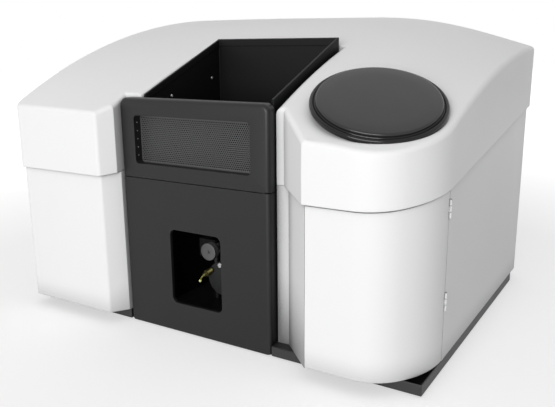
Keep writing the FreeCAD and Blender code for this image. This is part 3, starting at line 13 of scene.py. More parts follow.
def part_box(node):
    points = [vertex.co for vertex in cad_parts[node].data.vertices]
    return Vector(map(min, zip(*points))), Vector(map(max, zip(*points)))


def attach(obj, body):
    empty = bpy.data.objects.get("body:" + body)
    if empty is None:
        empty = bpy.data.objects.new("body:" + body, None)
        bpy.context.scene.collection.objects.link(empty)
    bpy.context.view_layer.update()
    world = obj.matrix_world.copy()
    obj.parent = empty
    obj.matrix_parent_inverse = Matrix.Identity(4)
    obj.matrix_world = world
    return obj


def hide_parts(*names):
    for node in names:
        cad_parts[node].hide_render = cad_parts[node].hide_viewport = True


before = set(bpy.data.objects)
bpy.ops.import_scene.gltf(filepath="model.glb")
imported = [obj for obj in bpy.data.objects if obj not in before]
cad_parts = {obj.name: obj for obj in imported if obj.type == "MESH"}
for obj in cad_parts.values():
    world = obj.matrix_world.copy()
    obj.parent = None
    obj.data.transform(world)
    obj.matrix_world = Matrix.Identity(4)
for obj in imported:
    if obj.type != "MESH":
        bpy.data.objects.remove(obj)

LOG = logging.getLogger("spectrophotometer")
MM = 0.001
TOUCH = 0.000002  # corners nearer than this are one corner
NEAR = 0.00001  # a corner nearer than this to a side lies on it
FLAT_ANGLE = math.radians(0.3)  # faces that meet at less than this are one face
WHITE = (1.0, 1.0, 1.0)
RIGHTWARD = Vector((1.0, 0.0, 0.0))
BACKWARD = Vector((0.0, 1.0, 0.0))
FULL_TURN = 2.0 * math.pi
Profile = list[tuple[float, float]]
Outline = list[tuple[float, float]]
Colour = tuple[float, float, float]
Inputs = dict[str | int, object]
Socket = bpy.types.NodeSocket


class Body(Enum):
    """The frame's bodies that new pieces ride on."""

    CHASSIS = "chassis"
    LID = "lid"
    SHIELD = "shield"
    KNOB = "knob"
    CARRIAGE = "carriage"
    TURRET = "turret"


class Slot(Enum):
    """The record's material slots, one for each finish."""

    WHITE_COVER = "white_cover"
    WHITE_CASING = "white_casing"
    BLACK_BASE = "black_base"
    BLACK_PANEL = "black_panel"
    BLACK_WELL = "black_well"
    BLACK_MESH = "black_mesh"
    DARK_LID = "dark_lid"
    FOOT_RUBBER = "foot_rubber"
    STEEL = "steel"
    PLATED = "plated"
    TITANIUM = "titanium"
    INERT_PLASTIC = "inert_plastic"
    KNOB_GREY = "knob_grey"
    BRASS = "brass"
    ALUMINIUM = "aluminium"
    CAST_BLACK = "cast_black"
    LAMP_GLASS = "lamp_glass"
    BLACK_PLASTIC = "black_plastic"
    LENS_GLASS = "lens_glass"
    MIRROR_FACE = "mirror_face"
    BOARD_GREEN = "board_green"


class Wiring:
    """Places and joins the nodes of one shader or geometry tree."""

    def __init__(self, tree: bpy.types.NodeTree) -> None:
        """Keeps the tree that the nodes go into."""
        self.tree = tree

    def place(self, kind: str, inputs: Inputs | None = None, **settings: object) -> bpy.types.Node:
        """Adds one node.

        Args:
            kind: the node's type name.
            inputs: sockets to join or values to set, by the name or number of the input; None leaves it alone.
            settings: properties of the node to set.

        Returns:
            The new node.
        """
        node = self.tree.nodes.new(kind)
        for name, value in settings.items():
            setattr(node, name, value)
        for key, value in (inputs or {}).items():
            socket = node.inputs[key]
            if isinstance(value, Socket):
                self.tree.links.new(value, socket)
            elif value is not None:
                socket.default_value = (*value, 1.0) if socket.type == "RGBA" else value
        return node

    def reckon(self, operation: str, first: object, second: object, clamp: bool = False) -> Socket:
        """Adds a math node.

        Args:
            operation: the math node's operation.
            first: a socket or a number.
            second: a socket or a number.
            clamp: whether the result stays between 0 and 1.

        Returns:
            The node's output.
        """
        return self.place("ShaderNodeMath", {0: first, 1: second}, operation=operation, use_clamp=clamp).outputs[0]

    def ramp(self, value: Socket, start: float, end: float, low: float, high: float) -> Socket:
        """Maps a value from one range onto another.

        Args:
            value: the socket to map.
            start: the value that becomes low.
            end: the value that becomes high.
            low: the result at start.
            high: the result at end.

        Returns:
            The mapped value.
        """
        spans = {"Value": value, "From Min": start, "From Max": end, "To Min": low, "To Max": high}
        return self.place("ShaderNodeMapRange", spans, clamp=True).outputs["Result"]

    def blend(self, mask: Socket, first: object, second: object) -> Socket:
        """Mixes two colours, each a socket or a colour, by the mask's share of the second."""
        return self.place("ShaderNodeMix", {0: mask, 6: first, 7: second}, data_type="RGBA").outputs[2]

    def spot(self) -> Socket:
        """Gives the object's own coordinates."""
        return self.place("ShaderNodeTexCoord").outputs["Object"]

    def noise(self, scale: object, detail: float, roughness: float = 0.5, spot: Socket | None = None) -> Socket:
        """Adds a noise texture.

        Args:
            scale: a socket or a number.
            detail: how many finer layers it has.
            roughness: how strong the finer layers are.
            spot: its coordinates, or nothing for the object's own.

        Returns:
            The noise value.
        """
        place = self.spot() if spot is None else spot
        inputs = {"Vector": place, "Scale": scale, "Detail": detail, "Roughness": roughness}
        return self.place("ShaderNodeTexNoise", inputs).outputs["Fac"]

    def bump(self, height: Socket, distance: float, normal: Socket | None = None, strength: float = 1.0) -> Socket:
        """Raises a surface by a height.

        Args:
            height: the height's socket.
            distance: how far a height of 1 stands out.
            normal: the normal that it starts from, or nothing for the surface's own.
            strength: how much of the bump shows.

        Returns:
            The bumped normal.
        """
        inputs = {"Strength": strength, "Distance": distance, "Height": height, "Normal": normal}
        return self.place("ShaderNodeBump", inputs).outputs["Normal"]

    def open_rays(self) -> Socket:
        """Marks the rays that see the studio as plain white: the camera's, mirrored ones and those through glass.

        Returns:
            1 for these rays, 0 for the ones that only carry light.
        """
        rays = self.place("ShaderNodeLightPath").outputs
        mirrored = self.reckon("MAXIMUM", rays["Is Glossy Ray"], rays["Is Transmission Ray"])
        return self.reckon("MAXIMUM", rays["Is Camera Ray"], mirrored)


class Effects:
    """The effects that several finishes share, each built once as a shader group."""

    CLOUD_SHARE = 0.65

    def __init__(self) -> None:
        """Builds the groups."""
        self.grain = self._grain()
        self.wear = self._worn_and_lit_edges()
        self.dust = self._dust()
        self.recess = self._recess_shade()
        self.brushing = self._brushing()

    @staticmethod
    def put(wiring: Wiring, group: bpy.types.NodeTree, **values: float) -> bpy.types.NodeOutputs:
        """Places a group in a material, with its inputs set by name, and gives its outputs."""
        return wiring.place("ShaderNodeGroup", values, node_tree=group).outputs

    @staticmethod
    def _start(name: str, inputs: dict[str, float], *outputs: str) -> tuple[Wiring, bpy.types.NodeOutputs]:
        """Makes an empty group with its sockets.

        Args:
            name: the group's name.
            inputs: number inputs with their usual values.
            outputs: the names of the outputs.

        Returns:
            The wiring and the sockets that bring the inputs.
        """
        tree = bpy.data.node_groups.new(name, "ShaderNodeTree")
        for socket, value in inputs.items():
            made = tree.interface.new_socket(socket, in_out="INPUT", socket_type="NodeSocketFloat")
            made.default_value = value
        for socket in outputs:
            kind = "NodeSocketVector" if socket == "Normal" else "NodeSocketFloat"
            tree.interface.new_socket(socket, in_out="OUTPUT", socket_type=kind)
        wiring = Wiring(tree)
        return wiring, wiring.place("NodeGroupInput").outputs

    def _grain(self) -> bpy.types.NodeTree:
        """Builds a fine even grain with a slow change of tone.

        Returns:
            The group.
        """
        wiring, given = self._start("fine_grain", {"Scale": 900.0, "Clouds": 6.0}, "Height", "Tone")
        fine = wiring.noise(given["Scale"], 3.0)
        speck = wiring.reckon("MULTIPLY", fine, 1.0 - self.CLOUD_SHARE)
        cloud = wiring.reckon("MULTIPLY", wiring.noise(given["Clouds"], 4.0), self.CLOUD_SHARE)
        wiring.place("NodeGroupOutput", {"Height": fine, "Tone": wiring.reckon("ADD", speck, cloud, clamp=True)})
        return wiring.tree

    def _worn_and_lit_edges(self) -> bpy.types.NodeTree:
        """Builds the rounded shading of sharp edges, and a broken mask along them, which marks worn edges and, on some
        finishes, a painted edge highlight.

        Returns:
            The group.
        """
        wiring, given = self._start("soft_worn_and_lit_edge", {"Radius": 0.0006, "Amount": 0.5}, "Mask", "Normal")
        soft = wiring.place("ShaderNodeBevel", {"Radius": given["Radius"]}, samples=4).outputs["Normal"]
        flat = wiring.place("ShaderNodeNewGeometry").outputs["Normal"]
        same = wiring.place("ShaderNodeVectorMath", {0: soft, 1: flat}, operation="DOT_PRODUCT").outputs["Value"]
        edge = wiring.ramp(same, 0.995, 0.75, 0.0, 1.0)
        broken = wiring.ramp(wiring.noise(45.0, 6.0), 0.4, 0.62, 0.15, 1.0)
        worn = wiring.reckon("MULTIPLY", edge, broken)
        mask = wiring.reckon("MULTIPLY", worn, given["Amount"], clamp=True)
        wiring.place("NodeGroupOutput", {"Mask": mask, "Normal": soft})
        return wiring.tree

    def _dust(self) -> bpy.types.NodeTree:
        """Builds a thin uneven film on the faces that look up.

        Returns:
            The group.
        """
        wiring, given = self._start("settled_dust", {"Amount": 0.1, "Scale": 30.0}, "Mask")
        normal = wiring.place("ShaderNodeNewGeometry").outputs["Normal"]
        rise = wiring.place("ShaderNodeSeparateXYZ", {0: normal}).outputs["Z"]
        upward = wiring.ramp(rise, 0.3, 1.0, 0.0, 1.0)
        patchy = wiring.ramp(wiring.noise(given["Scale"], 8.0, 0.7), 0.35, 0.75, 0.2, 1.0)
        lying = wiring.reckon("MULTIPLY", upward, patchy)
        wiring.place("NodeGroupOutput", {"Mask": wiring.reckon("MULTIPLY", lying, given["Amount"], clamp=True)})
        return wiring.tree

    def _recess_shade(self) -> bpy.types.NodeTree:
        """Builds a mask of the places that their neighbours close in, where shade is painted into the colour.

        Returns:
            The group.
        """
        wiring, given = self._start("shaded_recess", {"Distance": 0.06, "Amount": 0.5}, "Mask")
        # painted shade: ambient occlusion marks where the colour is darkened
        closed = wiring.place("ShaderNodeAmbientOcclusion", {"Distance": given["Distance"]}, samples=16)
        deep = wiring.ramp(closed.outputs["AO"], 0.9, 0.45, 0.0, 1.0)
        wiring.place("NodeGroupOutput", {"Mask": wiring.reckon("MULTIPLY", deep, given["Amount"], clamp=True)})
        return wiring.tree

    def _brushing(self) -> bpy.types.NodeTree:
        """Builds the short parallel lines left by a brush or a cutting tool.

        Returns:
            The group.
        """
        wiring, given = self._start("brushed_lines", {"Scale": 400.0, "Stretch": 30.0}, "Height", "Tone")
        pull = wiring.place("ShaderNodeCombineXYZ", {"X": 1.0, "Y": 1.0, "Z": given["Stretch"]}).outputs[0]
        drawn = wiring.place("ShaderNodeVectorMath", {0: wiring.spot(), 1: pull}, operation="MULTIPLY").outputs[0]
        lines = wiring.noise(given["Scale"], 4.0, spot=drawn)
        wiring.place("NodeGroupOutput", {"Height": lines, "Tone": wiring.ramp(lines, 0.3, 0.7, 0.0, 1.0)})
        return wiring.tree


@dataclass(frozen=True)
class Finish:
    """What every finish has: a name, and a recipe for its surface."""

    name: str

    def make(self, effects: Effects) -> bpy.types.Material:
        """Builds the material.

        Args:
            effects: the shared effects.

        Returns:
            The material.
        """
        material = bpy.data.materials.new(self.name)
        material.use_nodes = True
        material.node_tree.nodes.clear()
        wiring = Wiring(material.node_tree)
        shader = wiring.place("ShaderNodeBsdfPrincipled", self._surface(effects, wiring))
        wiring.place("ShaderNodeOutputMaterial", {"Surface": shader.outputs["BSDF"]})
        return material

    def _surface(self, effects: Effects, wiring: Wiring) -> Inputs:
        """Wires what feeds the surface shader, and gives it by the names of the shader's inputs."""
        raise NotImplementedError


@dataclass(frozen=True)
class Coated(Finish):
    """Paint, powder coat, moulded plastic or rubber: one colour with a fine surface grain."""

    colour: Colour
    roughness: float
    tone_change: float = 0.04
    roughness_change: float = 0.06
    scale: float = 900.0
    depth: float = 0.00002
    edge_radius: float = 0.0008
    wear: float = 0.1
    worn_and_lit_edge_colour: Colour = (0.8, 0.8, 0.8)
    dust: float = 0.03
    dust_colour: Colour = (0.55, 0.54, 0.52)
    dust_scale: float = 30.0
    tone_start: float = 0.3
    tone_end: float = 0.7
    gloss_level: float = 0.5
    metallic: float = 0.0
    # recess, recess_shade_reach and recess_shade_colour paint shade into recesses: the colour darkens where
    # neighbouring parts close in
    recess: float = 0.0
    recess_shade_reach: float = 0.07
    recess_shade_colour: Colour = (0.12, 0.12, 0.122)

    def _shade(self, factor: float) -> Colour:
        """Gives the finish's colour, darkened or lightened by a factor."""
        return tuple(min(1.0, part * factor) for part in self.colour)

    def _texture(self, effects: Effects, wiring: Wiring) -> bpy.types.NodeOutputs:
        """Places the effect that gives the surface its height and tone."""
        return effects.put(wiring, effects.grain, Scale=self.scale)

    def _worn_and_lit_edge_colour(self) -> Colour:
        """Gives the colour that worn edges take; on the white finishes and the black panels its lighter tone is partly
        a painted highlight.
        """
        return self.worn_and_lit_edge_colour

    def _surface(self, effects: Effects, wiring: Wiring) -> Inputs:
        """Lays tone, edge wear with a painted edge highlight, painted shade in recesses and dust over each other.

        Args:
            effects: the shared effects.
            wiring: the material's wiring.

        Returns:
            What feeds the surface shader, by the names of its inputs.
        """
        texture = self._texture(effects, wiring)
        edge = effects.put(wiring, effects.wear, Radius=self.edge_radius, Amount=self.wear)
        film = effects.put(wiring, effects.dust, Amount=self.dust, Scale=self.dust_scale)["Mask"]
        coat = wiring.blend(texture["Tone"], self._shade(1.0 - self.tone_change), self._shade(1.0 + self.tone_change))
        # edge wear, partly a painted highlight: edges lighten towards the worn and lit edge colour
        coat = wiring.blend(edge["Mask"], coat, self._worn_and_lit_edge_colour())
        # painted shade: the colour darkens towards recess_shade_colour in recesses
        if self.recess > 0.0:
            closed = effects.put(wiring, effects.recess, Distance=self.recess_shade_reach, Amount=self.recess)
            coat = wiring.blend(closed["Mask"], coat, self.recess_shade_colour)
        smoothest = self.roughness - self.roughness_change
        roughest = self.roughness + self.roughness_change
        sheen = wiring.ramp(texture["Tone"], self.tone_start, self.tone_end, smoothest, roughest)
        return {
            "Base Color": wiring.blend(film, coat, self.dust_colour),
            "Roughness": wiring.reckon("ADD", sheen, film, clamp=True),
            "Normal": wiring.bump(texture["Height"], self.depth, edge["Normal"]),
            "Specular IOR Level": self.gloss_level,
            "Metallic": self.metallic,
        }


@dataclass(frozen=True)
class Metal(Coated):
    """Bare, brushed, turned or plated metal, brighter where its edges are rubbed."""

    RUBBED: ClassVar[float] = 1.25

    tone_change: float = 0.1
    roughness_change: float = 0.08
    scale: float = 300.0
    stretch: float = 25.0
    depth: float = 0.00001
    edge_radius: float = 0.0003
    wear: float = 0.5
    dust: float = 0.05
    dust_colour: Colour = (0.3, 0.29, 0.27)
    dust_scale: float = 60.0
    tone_start: float = 0.0
    tone_end: float = 1.0
    metallic: float = 1.0

    def _texture(self, effects: Effects, wiring: Wiring) -> bpy.types.NodeOutputs:
        """Places the effect that gives the surface its height and tone."""
        return effects.put(wiring, effects.brushing, Scale=self.scale, Stretch=self.stretch)

    def _worn_and_lit_edge_colour(self) -> Colour:
        """Gives the colour that rubbed edges take."""
        return self._shade(self.RUBBED)


@dataclass(frozen=True)
class Glass(Finish):
    """Clear glass with faint streaks."""

    colour: Colour = (0.97, 0.98, 0.98)
    streak: float = 0.96
    refraction: float = 1.47
    roughness: float = 0.03
    depth: float = 0.000004

    def _surface(self, effects: Effects, wiring: Wiring) -> Inputs:
        """Streaks the glass.

        Args:
            effects: the shared effects.
            wiring: the material's wiring.

        Returns:
            What feeds the surface shader, by the names of its inputs.
        """
        grain = effects.put(wiring, effects.grain, Scale=120.0, Clouds=25.0)
        tinted = tuple(part * self.streak for part in self.colour)
        return {
            "Base Color": wiring.blend(grain["Tone"], tinted, self.colour),
            "Roughness": wiring.ramp(grain["Tone"], 0.3, 0.7, self.roughness * 0.5, self.roughness * 2.0),
            "Normal": wiring.bump(grain["Height"], self.depth),
            "IOR": self.refraction,
            "Transmission Weight": 1.0,
        }


@dataclass(frozen=True)
class CircuitBoard(Finish):
    """Green solder mask over copper tracks."""

    mask_colour: Colour = (0.01, 0.11, 0.04)
    track_colour: Colour = (0.03, 0.2, 0.07)
    dust_colour: Colour = (0.3, 0.3, 0.28)
    track_scale: float = 160.0
    track_height: float = 0.00004

    def _surface(self, effects: Effects, wiring: Wiring) -> Inputs:
        """Draws the tracks.

        Args:
            effects: the shared effects.
            wiring: the material's wiring.

        Returns:
            What feeds the surface shader, by the names of its inputs.
        """
        inputs = {"Vector": wiring.spot(), "Scale": self.track_scale}
        cells = wiring.place("ShaderNodeTexVoronoi", inputs, feature="F1", distance="CHEBYCHEV")
        tracks = wiring.ramp(cells.outputs["Distance"], 0.38, 0.42, 0.0, 1.0)
        film = effects.put(wiring, effects.dust, Amount=0.12, Scale=50.0)["Mask"]
        board = wiring.blend(tracks, self.mask_colour, self.track_colour)
        return {
            "Base Color": wiring.blend(film, board, self.dust_colour),
            "Roughness": wiring.ramp(tracks, 0.0, 1.0, 0.35, 0.28),
            "Normal": wiring.bump(tracks, self.track_height, strength=0.6),
        }


def grey(level: float) -> Colour:
    """Gives an even grey."""
    return (level, level, level)


FINISHES: dict[Slot, Finish] = {
    # The white finishes paint shade into their recesses (recess=0.6) and paint a faint highlight on their edges with
    # the lighter edge colour.
    Slot.WHITE_COVER: Coated(
        "satin white cover", grey(0.8), 0.42, tone_change=0.012, roughness_change=0.05, scale=1400.0, depth=0.000012,
        edge_radius=0.0022, wear=0.08, worn_and_lit_edge_colour=(0.9, 0.9, 0.89), dust=0.015, gloss_level=0.22, recess=0.6,
    ),
    Slot.WHITE_CASING: Coated(
        "satin white casing", grey(0.79), 0.45, tone_change=0.012, roughness_change=0.05, scale=1400.0,
        depth=0.000012, edge_radius=0.0016, wear=0.08, worn_and_lit_edge_colour=(0.9, 0.9, 0.89), dust=0.02, gloss_level=0.22,
        recess=0.6,
    ),
    Slot.BLACK_BASE: Coated(
        "black powder coat of the base", (0.016, 0.016, 0.017), 0.5, tone_change=0.15, scale=1800.0, depth=0.00004,
        wear=0.3, worn_and_lit_edge_colour=grey(0.06), dust=0.02,
    ),
    # painted highlight: the lighter edge colour stands partly for the lit top edge of the panels and partly for wear
    Slot.BLACK_PANEL: Coated(
        "black powder coat of the panels", (0.008, 0.008, 0.0083), 0.42, tone_change=0.12, scale=1700.0,
        edge_radius=0.001, wear=0.5, worn_and_lit_edge_colour=grey(0.1), dust=0.02, gloss_level=0.34,
    ),
    Slot.BLACK_WELL: Coated(
        "black heat paint of the well", (0.004, 0.004, 0.0042), 0.5, tone_change=0.15, scale=1500.0, wear=0.5,
        worn_and_lit_edge_colour=grey(0.1), dust=0.01, gloss_level=0.15,
    ),
    Slot.BLACK_MESH: Coated(
        "grey powder coat of the mesh", (0.06, 0.06, 0.0615), 0.45, tone_change=0.1, scale=2500.0, edge_radius=0.0003,
        wear=0.3, worn_and_lit_edge_colour=grey(0.2), dust=0.02,
    ),
    Slot.DARK_LID: Coated(
        "moulded plastic of the lid", (0.011, 0.011, 0.0113), 0.2, tone_change=0.08, roughness_change=0.03,
        scale=2200.0, depth=0.000008, edge_radius=0.0005, worn_and_lit_edge_colour=grey(0.06), dust=0.015, gloss_level=0.42,
    ),
    Slot.FOOT_RUBBER: Coated(
        "rubber of the feet", grey(0.02), 0.8, tone_change=0.2, scale=1200.0, depth=0.00006, worn_and_lit_edge_colour=grey(0.05),
        dust=0.1,
    ),
    Slot.STEEL: Metal("turned steel", (0.56, 0.56, 0.57), 0.3),
    Slot.PLATED: Metal("zinc plated sheet", (0.6, 0.61, 0.62), 0.36, tone_change=0.14, scale=60.0, stretch=3.0),
    Slot.TITANIUM: Metal("heat toned titanium", (0.42, 0.4, 0.38), 0.42, tone_change=0.16),
    Slot.INERT_PLASTIC: Coated(
        "dark inert plastic", (0.016, 0.0165, 0.017), 0.45, tone_change=0.1, scale=1500.0, wear=0.2,
        worn_and_lit_edge_colour=grey(0.1), dust=0.02, gloss_level=0.3,
    ),
    Slot.KNOB_GREY: Coated(
        "grey plastic of the knob", (0.085, 0.085, 0.087), 0.45, tone_change=0.06, scale=2000.0, edge_radius=0.0004,
        wear=0.2, worn_and_lit_edge_colour=grey(0.3), dust=0.03,
    ),
    Slot.BRASS: Metal("turned brass", (0.72, 0.52, 0.24), 0.26, tone_change=0.12, scale=500.0),
    Slot.ALUMINIUM: Metal("milled aluminium", (0.72, 0.73, 0.74), 0.34, scale=350.0),
    Slot.CAST_BLACK: Coated(
        "black paint on castings", (0.009, 0.009, 0.0095), 0.6, tone_change=0.2, scale=700.0, depth=0.00008, wear=0.3,
        worn_and_lit_edge_colour=grey(0.06), dust=0.02, gloss_level=0.3,
    ),
    Slot.LAMP_GLASS: Glass("lamp glass"),
    Slot.BLACK_PLASTIC: Coated(
        "black moulded plastic", grey(0.018), 0.42, tone_change=0.1, scale=1600.0, depth=0.00003, wear=0.15,
        worn_and_lit_edge_colour=grey(0.07), dust=0.05,
    ),
    Slot.LENS_GLASS: Glass("lens glass", refraction=1.46, roughness=0.01),
    Slot.MIRROR_FACE: Metal(
        "polished mirror", grey(0.93), 0.05, tone_change=0.02, roughness_change=0.02, scale=40.0, stretch=1.0,
        depth=0.000001, wear=0.1, dust=0.01,
    ),
    Slot.BOARD_GREEN: CircuitBoard("circuit board"),
}

DULL_BRASS = Metal("dull brass of the nebuliser", (0.09, 0.08, 0.03), 0.5, wear=0.2)
DARK_PLATE = Metal("dark passivated plate", (0.05, 0.05, 0.052), 0.55, scale=60.0, stretch=3.0, wear=0.2)
CAPILLARY = Coated(
    "yellow capillary tube", (0.2, 0.19, 0.04), 0.4, tone_change=0.1, depth=0.00001, worn_and_lit_edge_colour=(0.8, 0.76, 0.3),
)
TUBE_TIP = Coated("pale tip of the capillary", (0.8, 0.82, 0.35), 0.3, tone_change=0.06, depth=0.00001)
MARK_PAINT = Coated("dark mark on the knob", grey(0.012), 0.5, tone_change=0.1, wear=0.0, dust=0.0)
TINTED_PANE = Coated(
    "dark tinted pane", (0.006, 0.006, 0.007), 0.12, tone_change=0.1, roughness_change=0.03, scale=60.0,
    depth=0.000004, worn_and_lit_edge_colour=grey(0.05), dust=0.0,
)
# painted shade: a stronger and wider darkening of the recesses, standing in for the shade on the casing beside the
# panels
SHADED_CASING = replace(
    FINISHES[Slot.WHITE_CASING], name="white casing with painted shade beside the well", recess=1.0, recess_shade_reach=0.14,
)
BEAD_GLOSS = Coated(
    "glossy bead of the lid", (0.004, 0.004, 0.0042), 0.14, tone_change=0.1, roughness_change=0.03, scale=1500.0,
    depth=0.000002, wear=0.0, dust=0.005, gloss_level=0.3,
)
DARK_FITTING = Coated(
    "dull black of the burner fittings", (0.004, 0.004, 0.0042), 0.6, tone_change=0.2, scale=1200.0, wear=0.2,
    worn_and_lit_edge_colour=grey(0.03), dust=0.0, gloss_level=0.15,
)
GRAPHITE = Coated(
    "dark lamp cathode", (0.07, 0.07, 0.075), 0.5, tone_change=0.2, wear=0.3, worn_and_lit_edge_colour=grey(0.3), dust=0.0,
)


def turned(profile: Profile, steps: int, place: Matrix) -> bmesh.types.BMesh:
    """Turns a profile about an axis.

    Args:
        profile: radius and height pairs, from one end of the profile to the other.
        steps: how many faces go round.
        place: where the axis stands; its local Z is the axis.

    Returns:
        The turned mesh. A radius of 0 closes an end.
    """
    mesh = bmesh.new()
    rings = []
    for radius, height in profile:
        if radius <= 0.0:
            rings.append([mesh.verts.new(place @ Vector((0.0, 0.0, height)))])
            continue
        rings.append([
            mesh.verts.new(place @ Vector((radius * math.cos(turn), radius * math.sin(turn), height)))
            for turn in (FULL_TURN * step / steps for step in range(steps))
        ])
    for lower, upper in zip(rings, rings[1:]):
        for step in range(steps):
            after = (step + 1) % steps
            pairs = ((lower, step), (lower, after), (upper, after), (upper, step))
            corners = [ring[turn % len(ring)] for ring, turn in pairs]
            mesh.faces.new(list(dict.fromkeys(corners)))
    bmesh.ops.recalc_face_normals(mesh, faces=mesh.faces)
    return mesh


def slab(outline: Outline, low: float, high: float, place: Matrix) -> bmesh.types.BMesh:
    """Raises an outline to a slab.

    Args:
        outline: the corners, in order.
        low: height of the lower face.
        high: height of the upper face.
        place: where the slab's own axes stand.

    Returns:
        The closed slab.
    """
    mesh = bmesh.new()
    below = [mesh.verts.new(place @ Vector((x, y, low))) for x, y in outline]
    above = [mesh.verts.new(place @ Vector((x, y, high))) for x, y in outline]
    mesh.faces.new(below)
    mesh.faces.new(above)
    for step, corner in enumerate(below):
        after = (step + 1) % len(below)
        mesh.faces.new([corner, below[after], above[after], above[step]])
    bmesh.ops.recalc_face_normals(mesh, faces=mesh.faces)
    return mesh


def scaled(profile: Profile, factor: float) -> Profile:
    """Gives a profile or an outline at another size."""
    return [(first * factor, second * factor) for first, second in profile]


def rounded(width: float, height: float, radius: float, steps: int) -> Outline:
    """Gives the outline of a rectangle with round corners.

    Args:
        width: size along the first axis.
        height: size along the second axis.
        radius: corner radius.
        steps: points on each corner.

    Returns:
        The outline, about its middle.
    """
    points = []
    for quarter, (side, end) in enumerate(((1, 1), (-1, 1), (-1, -1), (1, -1))):
        for step in range(steps + 1):
            turn = (quarter + step / steps) * math.pi / 2.0
            points.append((
                side * (width / 2.0 - radius) + radius * math.cos(turn),
                end * (height / 2.0 - radius) + radius * math.sin(turn),
            ))
    return points


def regular(radius: float, corners: int) -> Outline:
    """Gives a regular outline, by the distance of its corners from the middle and their number."""
    turns = (FULL_TURN * step / corners for step in range(corners))
    return [(radius * math.cos(turn), radius * math.sin(turn)) for turn in turns]


def merged(*meshes: bmesh.types.BMesh) -> bmesh.types.BMesh:
    """Puts several meshes into one.

    Args:
        meshes: the meshes, which are used up.

    Returns:
        One mesh that holds them all.
    """
    whole = bmesh.new()
    for mesh in meshes:
        part = bpy.data.meshes.new("part")
        mesh.to_mesh(part)
        mesh.free()
        whole.from_mesh(part)
        bpy.data.meshes.remove(part)
    return whole


def solid_of(node: str) -> bmesh.types.BMesh:
    """Copies a frame node's shape, with its flat faces whole.

    Args:
        node: the node's name.

    Returns:
        The copy.
    """
    mesh = bmesh.new()
    mesh.from_mesh(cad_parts[node].data)
    bmesh.ops.remove_doubles(mesh, verts=mesh.verts, dist=TOUCH)
    bmesh.ops.dissolve_limit(mesh, angle_limit=FLAT_ANGLE, verts=mesh.verts, edges=mesh.edges)
    return mesh


def facing(spot: Vector, axis: Vector) -> Matrix:
    """Gives axes that stand at a spot and look along an axis.

    Args:
        spot: the origin.
        axis: where local Z points. Local X points to the right, or to the back where the axis itself does so.

    Returns:
        The placing matrix.
    """
    up = axis.normalized()
    side = RIGHTWARD - up * RIGHTWARD.dot(up)
    if side.length < NEAR:
        side = BACKWARD - up * up.y
    side.normalize()
    other = up.cross(side)
    placed = Matrix((side, other, up)).transposed().to_4x4()
    placed.translation = spot
    return placed


